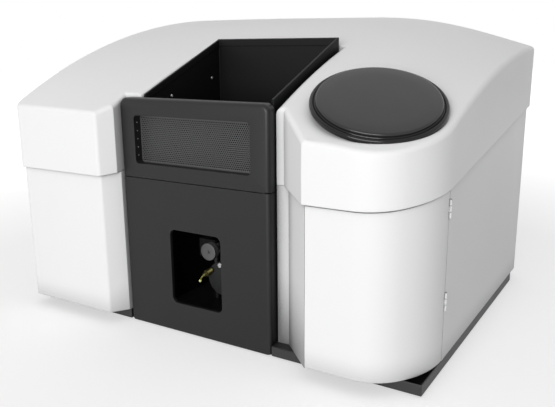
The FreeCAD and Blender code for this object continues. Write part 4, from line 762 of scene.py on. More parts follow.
class Workshop:
    """Turns shaped meshes into pieces that wear a finish and ride on a body."""

    SMOOTH_ANGLE = math.radians(32.0)
    EASED_ANGLE = math.radians(40.0)

    def __init__(self) -> None:
        """Builds the shared effects and the smoothing step."""
        self.effects = Effects()
        self.materials: dict[str, bpy.types.Material] = {}
        self.smoothing = self._smoothing()

    def _smoothing(self) -> bpy.types.NodeTree:
        """Builds the step that joins a frame node's faces and smooths all but its sharp edges.

        Returns:
            The geometry group.
        """
        tree = bpy.data.node_groups.new("joined smooth faces", "GeometryNodeTree")
        tree.is_modifier = True
        for way in ("INPUT", "OUTPUT"):
            tree.interface.new_socket("Geometry", in_out=way, socket_type="NodeSocketGeometry")
        wiring = Wiring(tree)
        angle = wiring.place("GeometryNodeInputMeshEdgeAngle").outputs["Unsigned Angle"]
        gentle = wiring.place(
            "FunctionNodeCompare", {"A": angle, "B": self.SMOOTH_ANGLE}, data_type="FLOAT", operation="LESS_THAN"
        ).outputs["Result"]
        shape = wiring.place("NodeGroupInput").outputs["Geometry"]
        for kind, inputs, settings in (
            ("GeometryNodeRemoveAttribute", {"Name": "custom_normal"}, {}),
            ("GeometryNodeMergeByDistance", {"Distance": TOUCH}, {}),
            ("GeometryNodeSetShadeSmooth", {}, {"domain": "FACE"}),
            ("GeometryNodeSetShadeSmooth", {"Shade Smooth": gentle}, {"domain": "EDGE"}),
        ):
            shape = wiring.place(kind, {"Geometry": shape, **inputs}, **settings).outputs["Geometry"]
        wiring.place("NodeGroupOutput", {"Geometry": shape})
        return tree

    def material(self, finish: Finish) -> bpy.types.Material:
        """Finds a finish's material, or makes it the first time.

        Args:
            finish: the finish.

        Returns:
            The material.
        """
        if finish.name not in self.materials:
            self.materials[finish.name] = finish.make(self.effects)
        return self.materials[finish.name]

    def _stand(
        self, name: str, data: bpy.types.ID, body: Body, slot: Slot, finish: Finish | None
    ) -> bpy.types.Object:
        """Puts a shape in the scene.

        Args:
            name: the piece's name.
            data: its mesh or curve.
            body: the body that it rides on.
            slot: the slot whose finish it takes.
            finish: a finish in place of the slot's usual one.

        Returns:
            The new object.
        """
        data.materials.append(self.material(finish or FINISHES[slot]))
        made = bpy.data.objects.new(name, data)
        bpy.context.scene.collection.objects.link(made)
        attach(made, body.value)
        return made

    def piece(
        self,
        name: str,
        shape: bmesh.types.BMesh,
        body: Body,
        slot: Slot,
        finish: Finish | None = None,
        edge: float = 0.0,
    ) -> bpy.types.Object:
        """Makes a piece from a shape.

        Args:
            name: the piece's name.
            shape: its mesh, which is used up.
            body: the body that it rides on.
            slot: the slot whose finish it takes.
            finish: a finish in place of the slot's usual one.
            edge: radius of its eased edges, or 0 for none.

        Returns:
            The new object.
        """
        data = bpy.data.meshes.new(name)
        shape.to_mesh(data)
        shape.free()
        for face in data.polygons:
            face.use_smooth = True
        data.set_sharp_from_angle(angle=self.SMOOTH_ANGLE)
        made = self._stand(name, data, body, slot, finish)
        self._ease(made, edge)
        return made

    def tube(
        self, name: str, route: list[Vector], radius: float, body: Body, slot: Slot, finish: Finish
    ) -> bpy.types.Object:
        """Makes a round bent tube or wire.

        Args:
            name: the piece's name.
            route: the points that it bends along.
            radius: its outer radius.
            body: the body that it rides on.
            slot: the slot whose finish it takes.
            finish: a finish in place of the slot's usual one.

        Returns:
            The new object.
        """
        curve = bpy.data.curves.new(name, "CURVE")
        curve.dimensions = "3D"
        curve.bevel_depth = radius
        curve.bevel_resolution = 4
        curve.use_fill_caps = True
        line = curve.splines.new("NURBS")
        line.points.add(len(route) - 1)
        for point, spot in zip(line.points, route):
            point.co = (*spot, 1.0)
        line.order_u = 3
        line.use_endpoint_u = True
        line.resolution_u = 8
        return self._stand(name, curve, body, slot, finish)

    def dress(self, node: str, edge: float) -> None:
        """Gives a frame node the finish of its slot.

        Args:
            node: the node's name.
            edge: radius of its eased edges, or 0 for none.
        """
        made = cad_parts[node]
        for holder in made.material_slots:
            slot = Slot(holder.material.name.split(".")[0])
            holder.material = self.material(FINISHES[slot])
        if edge > 0.0:
            made.modifiers.new("joined smooth faces", "NODES").node_group = self.smoothing
            flat = made.modifiers.new("whole flat faces", "DECIMATE")
            flat.decimate_type = "DISSOLVE"
            flat.angle_limit = FLAT_ANGLE
            self._ease(made, edge)

    def repaint(self, node: str, finish: Finish) -> None:
        """Gives a frame node a finish of its own in place of its slot's usual one."""
        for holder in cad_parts[node].material_slots:
            holder.material = self.material(finish)

    def _ease(self, made: bpy.types.Object, edge: float) -> None:
        """Rounds an object's sharp edges.

        Args:
            made: the object.
            edge: radius of the edges; 0 leaves them sharp.
        """
        if edge > 0.0:
            easing = made.modifiers.new("eased edges", "BEVEL")
            easing.width = edge
            easing.segments = 2
            easing.limit_method = "ANGLE"
            easing.angle_limit = self.EASED_ANGLE
            easing.harden_normals = True


@dataclass
class Assembly:
    """A sub-assembly: the frame nodes that it dresses, and the pieces that it adds.

    The screw profiles are in head radii.
    """

    SCREW_DOME: ClassVar[Profile] = [(1.0, 0.0), (1.0, 0.18), (0.9, 0.38), (0.7, 0.52), (0.5, 0.56)]
    SCREW_SOCKET: ClassVar[Profile] = [(0.5, 0.56), (0.44, 0.5), (0.42, 0.14), (0.0, 0.1)]
    SCREW_RIM: ClassVar[Profile] = [(0.5, 0.56), (0.435, 0.505)]
    SCREW_TURN: ClassVar[float] = 0.7

    shop: Workshop
    nodes: dict[str, float] = field(default_factory=dict)

    def dress(self) -> None:
        """Dresses the frame nodes, each with its own easing of edges."""
        for node, edge in self.nodes.items():
            self.shop.dress(node, edge)

    def build(self) -> list[bpy.types.Object]:
        """Adds the pieces that the frame leaves to this scene.

        Returns:
            The new pieces.
        """
        return []

    def screws(self, name: str, spots: list[Vector], axis: Vector, radius: float) -> bpy.types.Object:
        """Adds steel pan head screws with hexagon sockets, which ride on the chassis.

        Args:
            name: the piece's name.
            spots: where each head meets its surface.
            axis: the direction that the heads face.
            radius: the heads' radius.

        Returns:
            The piece that holds all the heads.
        """
        heads = []
        for count, spot in enumerate(spots):
            place = facing(spot, axis) @ Matrix.Rotation(self.SCREW_TURN * count, 4, "Z")
            for profile, steps in ((self.SCREW_DOME, 24), (self.SCREW_SOCKET, 6), (self.SCREW_RIM, 24)):
                heads.append(turned(scaled(profile, radius), steps, place))
        return self.shop.piece(name, merged(*heads), Body.CHASSIS, Slot.STEEL)


@dataclass
class TopCover(Assembly):
    """The white crowned cover."""

    nodes: dict[str, float] = field(default_factory=lambda: {"top_cover": 0.0})


@dataclass
class LampLid(Assembly):
    """The round lid on its sloping seat, turned smooth in place of the frame's coarser one."""

    centre: Vector = field(default_factory=lambda: Vector((262.8, -197.5, 374.0)) * MM)
    axis: Vector = field(default_factory=lambda: Vector((0.223555, -0.395130, 0.891007)))
    steps: int = 144

    def build(self) -> list[bpy.types.Object]:
        """Turns the lid.

        Returns:
            The lid.
        """
        disc = [
            (0.0, 4.8), (73.1, 4.8), (73.1, -4.4), (73.4, -4.7), (75.3, -4.7), (75.6, -4.4), (75.6, 0.3), (84.6, 0.3),
            (84.6, 9.6), (84.3, 10.7), (83.6, 11.5), (82.6, 12.0), (81.2, 12.2), (60.0, 12.3), (30.0, 12.35),
            (0.0, 12.4),
        ]
        bead = [
            (84.6, 0.3), (91.6, 0.3), (92.2, 0.6), (92.7, 1.2), (93.0, 2.2), (93.0, 3.6), (92.8, 4.8), (92.3, 6.0),
            (91.6, 6.9), (90.6, 7.5), (89.5, 7.6), (88.5, 7.3), (87.6, 6.7), (86.9, 6.0), (86.2, 5.7), (85.4, 5.8),
            (84.9, 6.4), (84.7, 7.4), (84.6, 7.4), (84.6, 0.3),
        ]
        lid = self._turn("round_lid", disc, None)
        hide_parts("lamp_lid")
        return [lid, self._turn("lid_bead", bead, BEAD_GLOSS)]

    def _turn(self, name: str, profile: Profile, finish: Finish | None) -> bpy.types.Object:
        """Turns one piece of the lid about its axis.

        Args:
            name: the piece's name.
            profile: its radius and height pairs, in millimetres.
            finish: a finish in place of the slot's usual one.

        Returns:
            The piece.
        """
        shape = turned(scaled(profile, MM), self.steps, facing(self.centre, self.axis))
        if profile[0] == profile[-1]:
            bmesh.ops.remove_doubles(shape, verts=shape.verts, dist=TOUCH)
            bmesh.ops.recalc_face_normals(shape, faces=shape.faces)
        return self.shop.piece(name, shape, Body.LID, Slot.DARK_LID, finish)


@dataclass
class Casings(Assembly):
    """The white lower walls, with the lamp door and its hinges."""

    nodes: dict[str, float] = field(default_factory=lambda: {
        "left_casing": 0.0008, "right_front_panel": 0.0008, "lamp_door": 0.0008, "right_side_panel": 0.0008,
        "door_hinge_pins": 0.0,
    })

    def build(self) -> list[bpy.types.Object]:
        """Darkens the hinge pins and shades the casing beside the well.

        Returns:
            Nothing new.
        """
        self.shop.repaint("door_hinge_pins", DARK_PLATE)
        # painted shade on the casing strip beside the panels
        self.shop.repaint("right_front_panel", SHADED_CASING)
        return []


@dataclass
class BurnerWell(Assembly):
    """The folded black well with its screws and the igniter."""

    nodes: dict[str, float] = field(default_factory=lambda: {"flame_box": 0.0006, "igniter": 0.0})
    wall: float = -114.6 * MM
    head_radius: float = 2.6 * MM
    frame_radius: float = 2.5 * MM

    def build(self) -> list[bpy.types.Object]:
        """Adds the two screw heads on the left wall.

        Returns:
            The screw heads.
        """
        low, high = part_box("wall_screws")
        front = Vector((self.wall, low.y + self.frame_radius, low.z + self.frame_radius))
        back = Vector((self.wall, high.y - self.frame_radius, high.z - self.frame_radius))
        heads = self.screws("well_wall_screw_heads", [front, back], RIGHTWARD, self.head_radius)
        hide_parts("wall_screws")
        return [heads]


@dataclass
class FrontPanels(Assembly):
    """The two black front panels, and the perforated sheet and tinted pane behind the upper one's window."""

    nodes: dict[str, float] = field(default_factory=lambda: {"shield_rails": 0.0, "rail_blocks": 0.0})
    bend: float = 6.0 * MM
    corner: float = 13.5 * MM
    pane: float = 1.0 * MM
    pane_corner: float = 4.0 * MM
    hole: float = 2.5 * MM
    pitch: float = 3.5 * MM
    border: float = 4.0 * MM
    foot_border: float = 8.0 * MM
    rivet_radius: float = 1.0 * MM
    rivet_gap: float = 13.0 * MM

    def build(self) -> list[bpy.types.Object]:
        """Makes the panels, and what fills the window.

        Returns:
            The new pieces.
        """
        upper = self._folded("shield_frame", "folded_shield_frame", Body.SHIELD, True)
        lower = self._folded("lower_front_panel", "folded_lower_panel", Body.CHASSIS, False)
        return [upper, lower, self._sheet(), self._pane(), self._rivets()]

    def _folded(self, node: str, name: str, body: Body, top: bool) -> bpy.types.Object:
        """Gives a panel the bends of folded sheet along its upright front edges.

        Args:
            node: the frame node that it follows.
            name: the piece's name.
            body: the body that it rides on.
            top: whether the bend goes on round the top edge.

        Returns:
            The folded panel.
        """
        low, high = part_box(node)
        mesh = solid_of(node)
        bends = []
        for edge in mesh.edges:
            ends = [vertex.co for vertex in edge.verts]
            if any(end.y > low.y + NEAR for end in ends):
                continue
            middle = (ends[0] + ends[1]) / 2.0
            inset = min(middle.x - low.x, high.x - middle.x)
            at_corner = middle.z > high.z - self.corner and inset < self.corner
            if inset < NEAR or (top and (at_corner or middle.z > high.z - NEAR)):
                bends.append(edge)
        bmesh.ops.bevel(
            mesh, geom=bends, offset=self.bend, segments=6, profile=0.5, affect="EDGES", clamp_overlap=True
        )
        panel = self.shop.piece(name, mesh, body, Slot.BLACK_PANEL, edge=0.0006)
        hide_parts(node)
        return panel

    def _pane(self) -> bpy.types.Object:
        """Adds the tinted pane that stands behind the perforated sheet.

        Returns:
            The pane.
        """
        low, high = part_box("shield_mesh")
        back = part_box("shield_frame")[1].y
        place = facing(Vector(((low.x + high.x) / 2.0, 0.0, (low.z + high.z) / 2.0)), BACKWARD)
        outline = rounded(high.x - low.x, high.z - low.z, self.pane_corner, 3)
        shape = slab(outline, back - self.pane, back, place)
        return self.shop.piece("tinted_pane", shape, Body.SHIELD, Slot.BLACK_MESH, TINTED_PANE, edge=0.0002)

    def _sheet(self) -> bpy.types.Object:
        """Makes the sheet: staggered round holes inside a plain border.

        Returns:
            The sheet.
        """
        low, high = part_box("shield_mesh")
        rise = self.pitch * math.sqrt(3.0) / 2.0
        side = self.pitch / math.sqrt(3.0)
        columns = int((high.x - low.x - 2.0 * self.border) / self.pitch - 0.5)
        rows = int((high.z - low.z - self.border - self.foot_border) / rise)
        left = (low.x + high.x - (columns - 0.5) * self.pitch) / 2.0
        foot = low.z + self.foot_border
        mesh = bmesh.new()
        for row in range(rows):
            for column in range(columns):
                middle = Vector((left + (column + 0.5 * (row % 2)) * self.pitch, low.y, foot + row * rise))
                self._cell(mesh, middle, side)
        bmesh.ops.remove_doubles(mesh, verts=mesh.verts, dist=self.pitch * 0.02)
        self._frame(mesh, low, high)
        sheet = self.shop.piece("perforated_sheet", mesh, Body.SHIELD, Slot.BLACK_MESH)
        thick = sheet.modifiers.new("sheet thickness", "SOLIDIFY")
        thick.thickness = high.y - low.y
        thick.offset = -1.0
        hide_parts("shield_mesh")
        return sheet

    def _cell(self, mesh: bmesh.types.BMesh, middle: Vector, side: float) -> None:
        """Adds one six-sided cell with its round hole.

        Args:
            mesh: the mesh to add to.
            middle: the hole's middle.
            side: distance from the middle to the cell's corners.
        """
        rim = []
        for step in range(12):
            turn = FULL_TURN * (step + 3) / 12.0
            spot = Vector((math.cos(turn), 0.0, math.sin(turn))) * self.hole / 2.0
            rim.append(mesh.verts.new(middle + spot))
        corners = []
        for step in range(6):
            turn = FULL_TURN * (2 * step + 3) / 12.0
            corners.append(mesh.verts.new(middle + Vector((math.cos(turn), 0.0, math.sin(turn))) * side))
        for step in range(6):
            after = (step + 1) % 6
            mesh.faces.new([
                corners[step], corners[after], rim[(2 * step + 2) % 12], rim[2 * step + 1], rim[2 * step],
            ])

    def _frame(self, mesh: bmesh.types.BMesh, low: Vector, high: Vector) -> None:
        """Adds the plain border round the cells.

        Args:
            mesh: the mesh of the cells, joined at their corners.
            low: the sheet's lowest corner.
            high: the sheet's highest corner.
        """
        rim = [edge for edge in mesh.edges if len(edge.link_faces) == 1 and edge.calc_length() > self.hole / 2.0]
        corners = [
            mesh.verts.new((x, low.y, z))
            for x, z in ((low.x, low.z), (high.x, low.z), (high.x, high.z), (low.x, high.z))
        ]
        outer = [mesh.edges.new((corners[step], corners[(step + 1) % 4])) for step in range(4)]
        bmesh.ops.triangle_fill(mesh, use_beauty=True, edges=rim + outer, normal=(0.0, -1.0, 0.0))

    def _rivets(self) -> bpy.types.Object:
        """Adds the column of small rivets on the window's left inner face.

        Returns:
            The rivets.
        """
        low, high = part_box("shield_mesh")
        face = low.x + self.border
        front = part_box("shield_frame")[0].y
        spots = [
            Vector((face, (front + low.y) / 2.0, (low.z + high.z) / 2.0 + step * self.rivet_gap))
            for step in (-2, -1, 0, 1, 2)
        ]
        radius = self.rivet_radius
        profile = [(radius, -0.0002), (radius, 0.0001), (radius * 0.7, 0.0004), (0.0, 0.0005)]
        heads = [turned(profile, 16, facing(spot, RIGHTWARD)) for spot in spots]
        return self.shop.piece("window_rivets", merged(*heads), Body.SHIELD, Slot.STEEL)


@dataclass
class Burner(Assembly):
    """The burner, its chamber and the lift knob that shows through the lower panel."""

    nodes: dict[str, float] = field(default_factory=lambda: {
        "burner_head": 0.0005, "spray_chamber": 0.0006, "chamber_cap": 0.0006, "drain_fitting": 0.0,
        "cap_stud": 0.0003, "burner_carriage": 0.0006, "guide_rods": 0.0, "lift_pinion": 0.0003,
        "knob_bracket": 0.0006,
    })
    knob_flutes: int = 36
    flute_depth: float = 0.022
    root: Vector = field(default_factory=lambda: Vector((-26.0, -196.0, 92.0)) * MM)
    along: Vector = field(default_factory=lambda: Vector((-20.0, -12.0, -16.0)).normalized())
    reach: float = 17.0 * MM
    tube_radius: float = 1.3 * MM

    def build(self) -> list[bpy.types.Object]:
        """Adds the knob with its mark, the nebuliser and its capillary.

        Returns:
            The new pieces.
        """
        self.shop.repaint("knob_bracket", DARK_FITTING)
        self.shop.repaint("guide_rods", DARK_PLATE)
        return [*self._knob(), *self._nebuliser()]

    def _knob(self) -> list[bpy.types.Object]:
        """Turns the knob and inlays the mark on its face.

        Returns:
            The knob and its mark.
        """
        low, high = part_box("lift_knob")
        radius = (high.x - low.x) / 2.0
        middle = Vector(((low.x + high.x) / 2.0, high.y, (low.z + high.z) / 2.0))
        place = facing(middle, -BACKWARD)
        length = high.y - low.y
        profile = [
            (0.0, 0.0), (radius * 0.55, 0.0), (radius * 0.97, 0.0004), (radius, 0.001), (radius, length - 0.0011),
            (radius * 0.985, length - 0.0005), (radius * 0.95, length - 0.0001), (radius * 0.9, length),
            (radius * 0.5, length - 0.0001), (0.0, length - 0.0001),
        ]
        shape = turned(profile, self.knob_flutes * 4, place)
        inverse = place.inverted()
        for vertex in shape.verts:
            local = inverse @ vertex.co
            reach = math.hypot(local.x, local.y)
            if reach > radius * 0.96 and 0.0005 < local.z < length - 0.0008:
                wave = math.cos(self.knob_flutes * math.atan2(local.y, local.x))
                shrink = 1.0 - self.flute_depth + self.flute_depth * wave
                vertex.co = place @ Vector((local.x * shrink, local.y * shrink, local.z))
        knob = self.shop.piece("knurled_lift_knob", shape, Body.KNOB, Slot.KNOB_GREY)
        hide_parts("lift_knob")
        arrow = [(0.2, 3.4), (4.6, -0.4), (3.2, -1.4), (-1.6, -3.8), (1.2, -0.2), (-0.6, 2.2)]
        mark = slab(scaled(arrow, MM), length - 0.0002, length + 0.00005, place)
        return [knob, self.shop.piece("knob_mark", mark, Body.KNOB, Slot.KNOB_GREY, MARK_PAINT)]

    def _nebuliser(self) -> list[bpy.types.Object]:
        """Builds the nebuliser's body, its nut and the thin tube that it draws the sample through.

        Returns:
            The new pieces.
        """
        place = facing(self.root, self.along)
        body = turned(
            [
                (0.0, -0.003), (0.005, -0.003), (0.005, 0.004), (0.0055, 0.0045), (0.0055, 0.0062), (0.005, 0.0067),
                (0.005, 0.012), (0.0042, 0.013), (0.0042, 0.016), (0.003, 0.017), (0.0, 0.017),
            ],
            40, place,
        )
        nut = slab(regular(0.0065, 6), 0.0075, 0.0115, place)
        whole = merged(body, nut)
        holder = self.shop.piece("nebuliser_body", whole, Body.CARRIAGE, Slot.BRASS, DULL_BRASS, edge=0.0003)
        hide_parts("nebuliser")
        tip = self.root + self.along * self.reach
        droop = ((-1.4, -1.6, -1.4), (-3.6, -2.0, -4.6), (-5.4, -1.6, -8.4))
        route = [tip - self.along * 2.0 * MM, *(tip + Vector(step) * MM for step in droop)]
        tube = self.shop.tube("sample_capillary", route, self.tube_radius, Body.CARRIAGE, Slot.BRASS, CAPILLARY)
        cap = turned(
            [(0.0, -0.001), (0.0018, -0.0006), (0.0022, 0.0006), (0.0022, 0.0026), (0.0016, 0.0034), (0.0, 0.0036)],
            24, facing(route[-1], route[-1] - route[-2]),
        )
        return [holder, tube, self.shop.piece("capillary_tip", cap, Body.CARRIAGE, Slot.BRASS, TUBE_TIP)]


@dataclass
class LampTurret(Assembly):
    """The turret with eight lamps, seen behind the open door.

    ELECTRODES holds the cathode cup, the two insulating discs and the stem, each with its count of faces.
    """

    ELECTRODES: ClassVar[tuple[tuple[Profile, int], ...]] = (
        ([
            (0.0, 0.05), (0.0045, 0.05), (0.005, 0.0505), (0.005, 0.068), (0.0028, 0.068), (0.0028, 0.06), (0.0, 0.06),
        ], 24),
        ([(0.0, 0.047), (0.0155, 0.047), (0.0155, 0.0478), (0.0, 0.0478)], 32),
        ([(0.0055, 0.069), (0.0155, 0.069), (0.0155, 0.0697), (0.0055, 0.0697), (0.0055, 0.069)], 32),
        ([(0.0, 0.002), (0.008, 0.002), (0.007, 0.012), (0.003, 0.02), (0.0, 0.02)], 24),
    )
    WIRE: ClassVar[Profile] = [(0.0, 0.014), (0.0007, 0.014), (0.0007, 0.069), (0.0, 0.069)]
    WIRE_SIDES: ClassVar[tuple[float, ...]] = (-0.011, 0.0, 0.011)

    nodes: dict[str, float] = field(default_factory=lambda: {
        "lamp_turret": 0.0005, "lamp_bases": 0.0004, "turret_motor": 0.0008,
    })
    lamps: int = 8
    circle: float = 58.0 * MM
    centre: Vector = field(default_factory=lambda: Vector((263.0, -203.0, 0.0)) * MM)
    foot: float = 92.0 * MM
    head: float = 212.0 * MM
    radius: float = 18.5 * MM
    neck_share: float = 0.78
    glass: float = 1.2 * MM

    def build(self) -> list[bpy.types.Object]:
        """Adds the glass envelopes and what stands inside them.

        Returns:
            The new pieces.
        """
        envelopes = []
        electrodes = []
        for count in range(self.lamps):
            turn = FULL_TURN * (count + 0.5) / self.lamps
            spot = self.centre + Vector((math.cos(turn), math.sin(turn), 0.0)) * self.circle
            place = Matrix.Translation(Vector((spot.x, spot.y, self.foot)))
            envelopes.append(self._envelope(place))
            electrodes.append(self._electrodes(place))
        glass = self.shop.piece("lamp_envelopes", merged(*envelopes), Body.TURRET, Slot.LAMP_GLASS)
        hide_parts("hollow_cathode_lamps")
        inside = self.shop.piece("lamp_electrodes", merged(*electrodes), Body.TURRET, Slot.STEEL, GRAPHITE)
        return [glass, inside]

    def _envelope(self, place: Matrix) -> bmesh.types.BMesh:
        """Turns one glass envelope with a thin wall and a flat window.

        Args:
            place: where the lamp stands.

        Returns:
            The envelope.
        """
        height = self.head - self.foot
        wall = self.glass
        neck = self.radius * self.neck_share
        outer = [
            (0.0, 0.0), (self.radius - 0.001, 0.0), (self.radius, 0.001), (self.radius, height * 0.52),
            (self.radius * 0.97, height * 0.56), (self.radius * 0.85, height * 0.61), (neck, height * 0.65),
            (neck, height * 0.96), (neck + 0.0008, height * 0.975), (neck + 0.0008, height - 0.0006),
            (neck, height), (0.0, height),
        ]
        inner = [
            (0.0, wall), (self.radius - wall - 0.001, wall), (self.radius - wall, wall + 0.001),
            (self.radius - wall, height * 0.52), (self.radius * 0.97 - wall, height * 0.555),
            (self.radius * 0.85 - wall, height * 0.605), (neck - wall, height * 0.65), (neck - wall, height - 0.002),
            (0.0, height - 0.002),
        ]
        shell = turned(outer, 40, place)
        hollow = turned(inner, 40, place)
        bmesh.ops.reverse_faces(hollow, faces=hollow.faces)
        return merged(shell, hollow)

    def _electrodes(self, place: Matrix) -> bmesh.types.BMesh:
        """Turns one lamp's cathode cup, its insulating discs and its wires.

        Args:
            place: where the lamp stands.

        Returns:
            The electrodes.
        """
        solids = [turned(profile, steps, place) for profile, steps in self.ELECTRODES]
        wires = [turned(self.WIRE, 8, place @ Matrix.Translation((side, 0.0, 0.0))) for side in self.WIRE_SIDES]
        return merged(*solids, *wires)


@dataclass
class Optics(Assembly):
    """The optical bench, its lenses and mirror, and the monochromator."""

    nodes: dict[str, float] = field(default_factory=lambda: {
        "lamp_bench": 0.0006, "bench_posts": 0.0, "fold_mirror_mount": 0.0004, "fold_mirror": 0.0002,
        "lens_tubes": 0.0004, "beam_lenses": 0.0, "monochromator": 0.0008, "mono_posts": 0.0,
        "grating_table": 0.0004, "diffraction_grating": 0.0003, "wavelength_drive": 0.0006,
        "detector_housing": 0.0008,
    })


@dataclass
class Electronics(Assembly):
    """The supply, the gas unit and the control board, with its components."""

    CAN: ClassVar[Profile] = [(0.0, 0.0), (0.004, 0.0), (0.004, 0.0036), (0.0036, 0.004), (0.0, 0.004)]
    CHIP_LENGTHS: ClassVar[tuple[float, float]] = (0.009, 0.014)
    CHIP_WIDTH: ClassVar[float] = 0.009

    nodes: dict[str, float] = field(default_factory=lambda: {
        "power_supply": 0.001, "gas_control_unit": 0.001, "control_board": 0.0002, "board_standoffs": 0.0,
    })
    board: float = 1.6 * MM
    side: float = 25.0 * MM
    end: float = 22.0 * MM
    columns: int = 5
    rows: int = 4

    def build(self) -> list[bpy.types.Object]:
        """Adds chips and capacitors on the board.

        Returns:
            The new pieces.
        """
        low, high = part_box("control_board")
        top = low.z + self.board
        chips = []
        cans = []
        for column in range(self.columns):
            for row in range(self.rows):
                x = low.x + self.side + column * (high.x - low.x - 2.0 * self.side) / (self.columns - 1)
                y = low.y + self.end + row * (high.y - low.y - 2.0 * self.end) / (self.rows - 1)
                if (column + row) % 3 == 0:
                    cans.append(turned(self.CAN, 20, Matrix.Translation((x, y, top))))
                else:
                    outline = rounded(self.CHIP_LENGTHS[row % 2], self.CHIP_WIDTH, 0.0004, 2)
                    chips.append(slab(outline, top, top + 0.002, Matrix.Translation((x, y, 0.0))))
        return [
            self.shop.piece("board_chips", merged(*chips), Body.CHASSIS, Slot.BLACK_PLASTIC, edge=0.0002),
            self.shop.piece("board_capacitors", merged(*cans), Body.CHASSIS, Slot.ALUMINIUM),
        ]


@dataclass
class RearConnections(Assembly):
    """The back panel with its recess: switch, mains inlet, gas inlets and signal port."""

    MAINS_PINS: ClassVar[Outline] = [(-0.007, -0.002), (0.0, 0.002), (0.007, -0.002)]
    PORT_PINS: ClassVar[Outline] = [
        *((0.00277 * (step - 2), 0.0014) for step in range(5)),
        *((0.00277 * (step - 1.5), -0.0014) for step in range(4)),
    ]
    PORT_PIN: ClassVar[Profile] = [(0.0, -0.001), (0.0005, -0.001), (0.0005, 0.0008), (0.0, 0.0012)]

    nodes: dict[str, float] = field(default_factory=lambda: {
        "rear_panel": 0.0006, "connection_pan": 0.0006, "switch_frame": 0.0004, "power_switch": 0.0004,
        "mains_inlet": 0.0005, "gas_inlets": 0.0003, "signal_port": 0.0003,
    })
    inset: float = 12.0 * MM
    head_radius: float = 3.0 * MM

    def build(self) -> list[bpy.types.Object]:
        """Adds the pins of both connectors and the panel's screws.

        Returns:
            The new pieces.
        """
        low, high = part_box("mains_inlet")
        blade = rounded(0.002, 0.004, 0.0006, 3)
        mains = [
            slab(blade, 0.0, high.y - low.y - 0.002, place)
            for place in self._places("mains_inlet", self.MAINS_PINS, low.y)
        ]
        port = [turned(self.PORT_PIN, 12, place) for place in self._places("signal_port", self.PORT_PINS, None)]
        return [
            self.shop.piece("mains_pins", merged(*mains), Body.CHASSIS, Slot.BRASS),
            self.shop.piece("port_pins", merged(*port), Body.CHASSIS, Slot.BRASS),
            self._panel_screws(),
        ]

    @staticmethod
    def _places(node: str, spots: Outline, depth: float | None) -> list[Matrix]:
        """Gives the places of a connector's pins, which look backward.

        Args:
            node: the connector's node.
            spots: the pins' places across and up from the connector's middle.
            depth: where the pins start, or nothing for the connector's outer face.

        Returns:
            The placing matrices.
        """
        low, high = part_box(node)
        x, z = (low.x + high.x) / 2.0, (low.z + high.z) / 2.0
        y = high.y if depth is None else depth
        return [facing(Vector((x + across, y, z + up)), BACKWARD) for across, up in spots]

    def _panel_screws(self) -> bpy.types.Object:
        """Adds the screws round the edge of the back panel.

        Returns:
            The screw heads.
        """
        low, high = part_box("rear_panel")
        spots = [
            Vector((x, high.y, z))
            for x in (low.x + self.inset, (low.x + high.x) / 2.0, high.x - self.inset)
            for z in (low.z + self.inset, high.z - self.inset * 2.0)
        ]
        return self.screws("rear_panel_screws", spots, BACKWARD, self.head_radius)


@dataclass
class CoolingFan(Assembly):
    """The cooling fan inside the back panel."""

    nodes: dict[str, float] = field(default_factory=lambda: {"fan_frame": 0.0005, "fan_rotor": 0.0})


@dataclass
class Base(Assembly):
    """The black tray, the inner plate and the feet."""

    nodes: dict[str, float] = field(default_factory=lambda: {
        "base_tray": 0.0008, "chassis_plate": 0.0, "feet": 0.0004,
    })
    strip_top: float = 18.0 * MM
    strip_thickness: float = 1.5 * MM
    bays: tuple[tuple[float, float], ...] = ((-206.0 * MM, -153.0 * MM), (128.0 * MM, 214.0 * MM))

    def build(self) -> list[bpy.types.Object]:
        """Closes the tray's top beside the lower panel.

        Returns:
            The closing strips.
        """
        self.shop.repaint("chassis_plate", DARK_PLATE)
        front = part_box("base_tray")[0].y
        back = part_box("right_front_panel")[1].y
        strips = []
        for left, right in self.bays:
            place = Matrix.Translation(((left + right) / 2.0, (front + back) / 2.0, 0.0))
            outline = rounded(right - left, back - front, 0.001, 2)
            strips.append(slab(outline, self.strip_top - self.strip_thickness, self.strip_top - 0.0001, place))
        return [self.shop.piece("tray_closing_strips", merged(*strips), Body.CHASSIS, Slot.BLACK_BASE, edge=0.0003)]


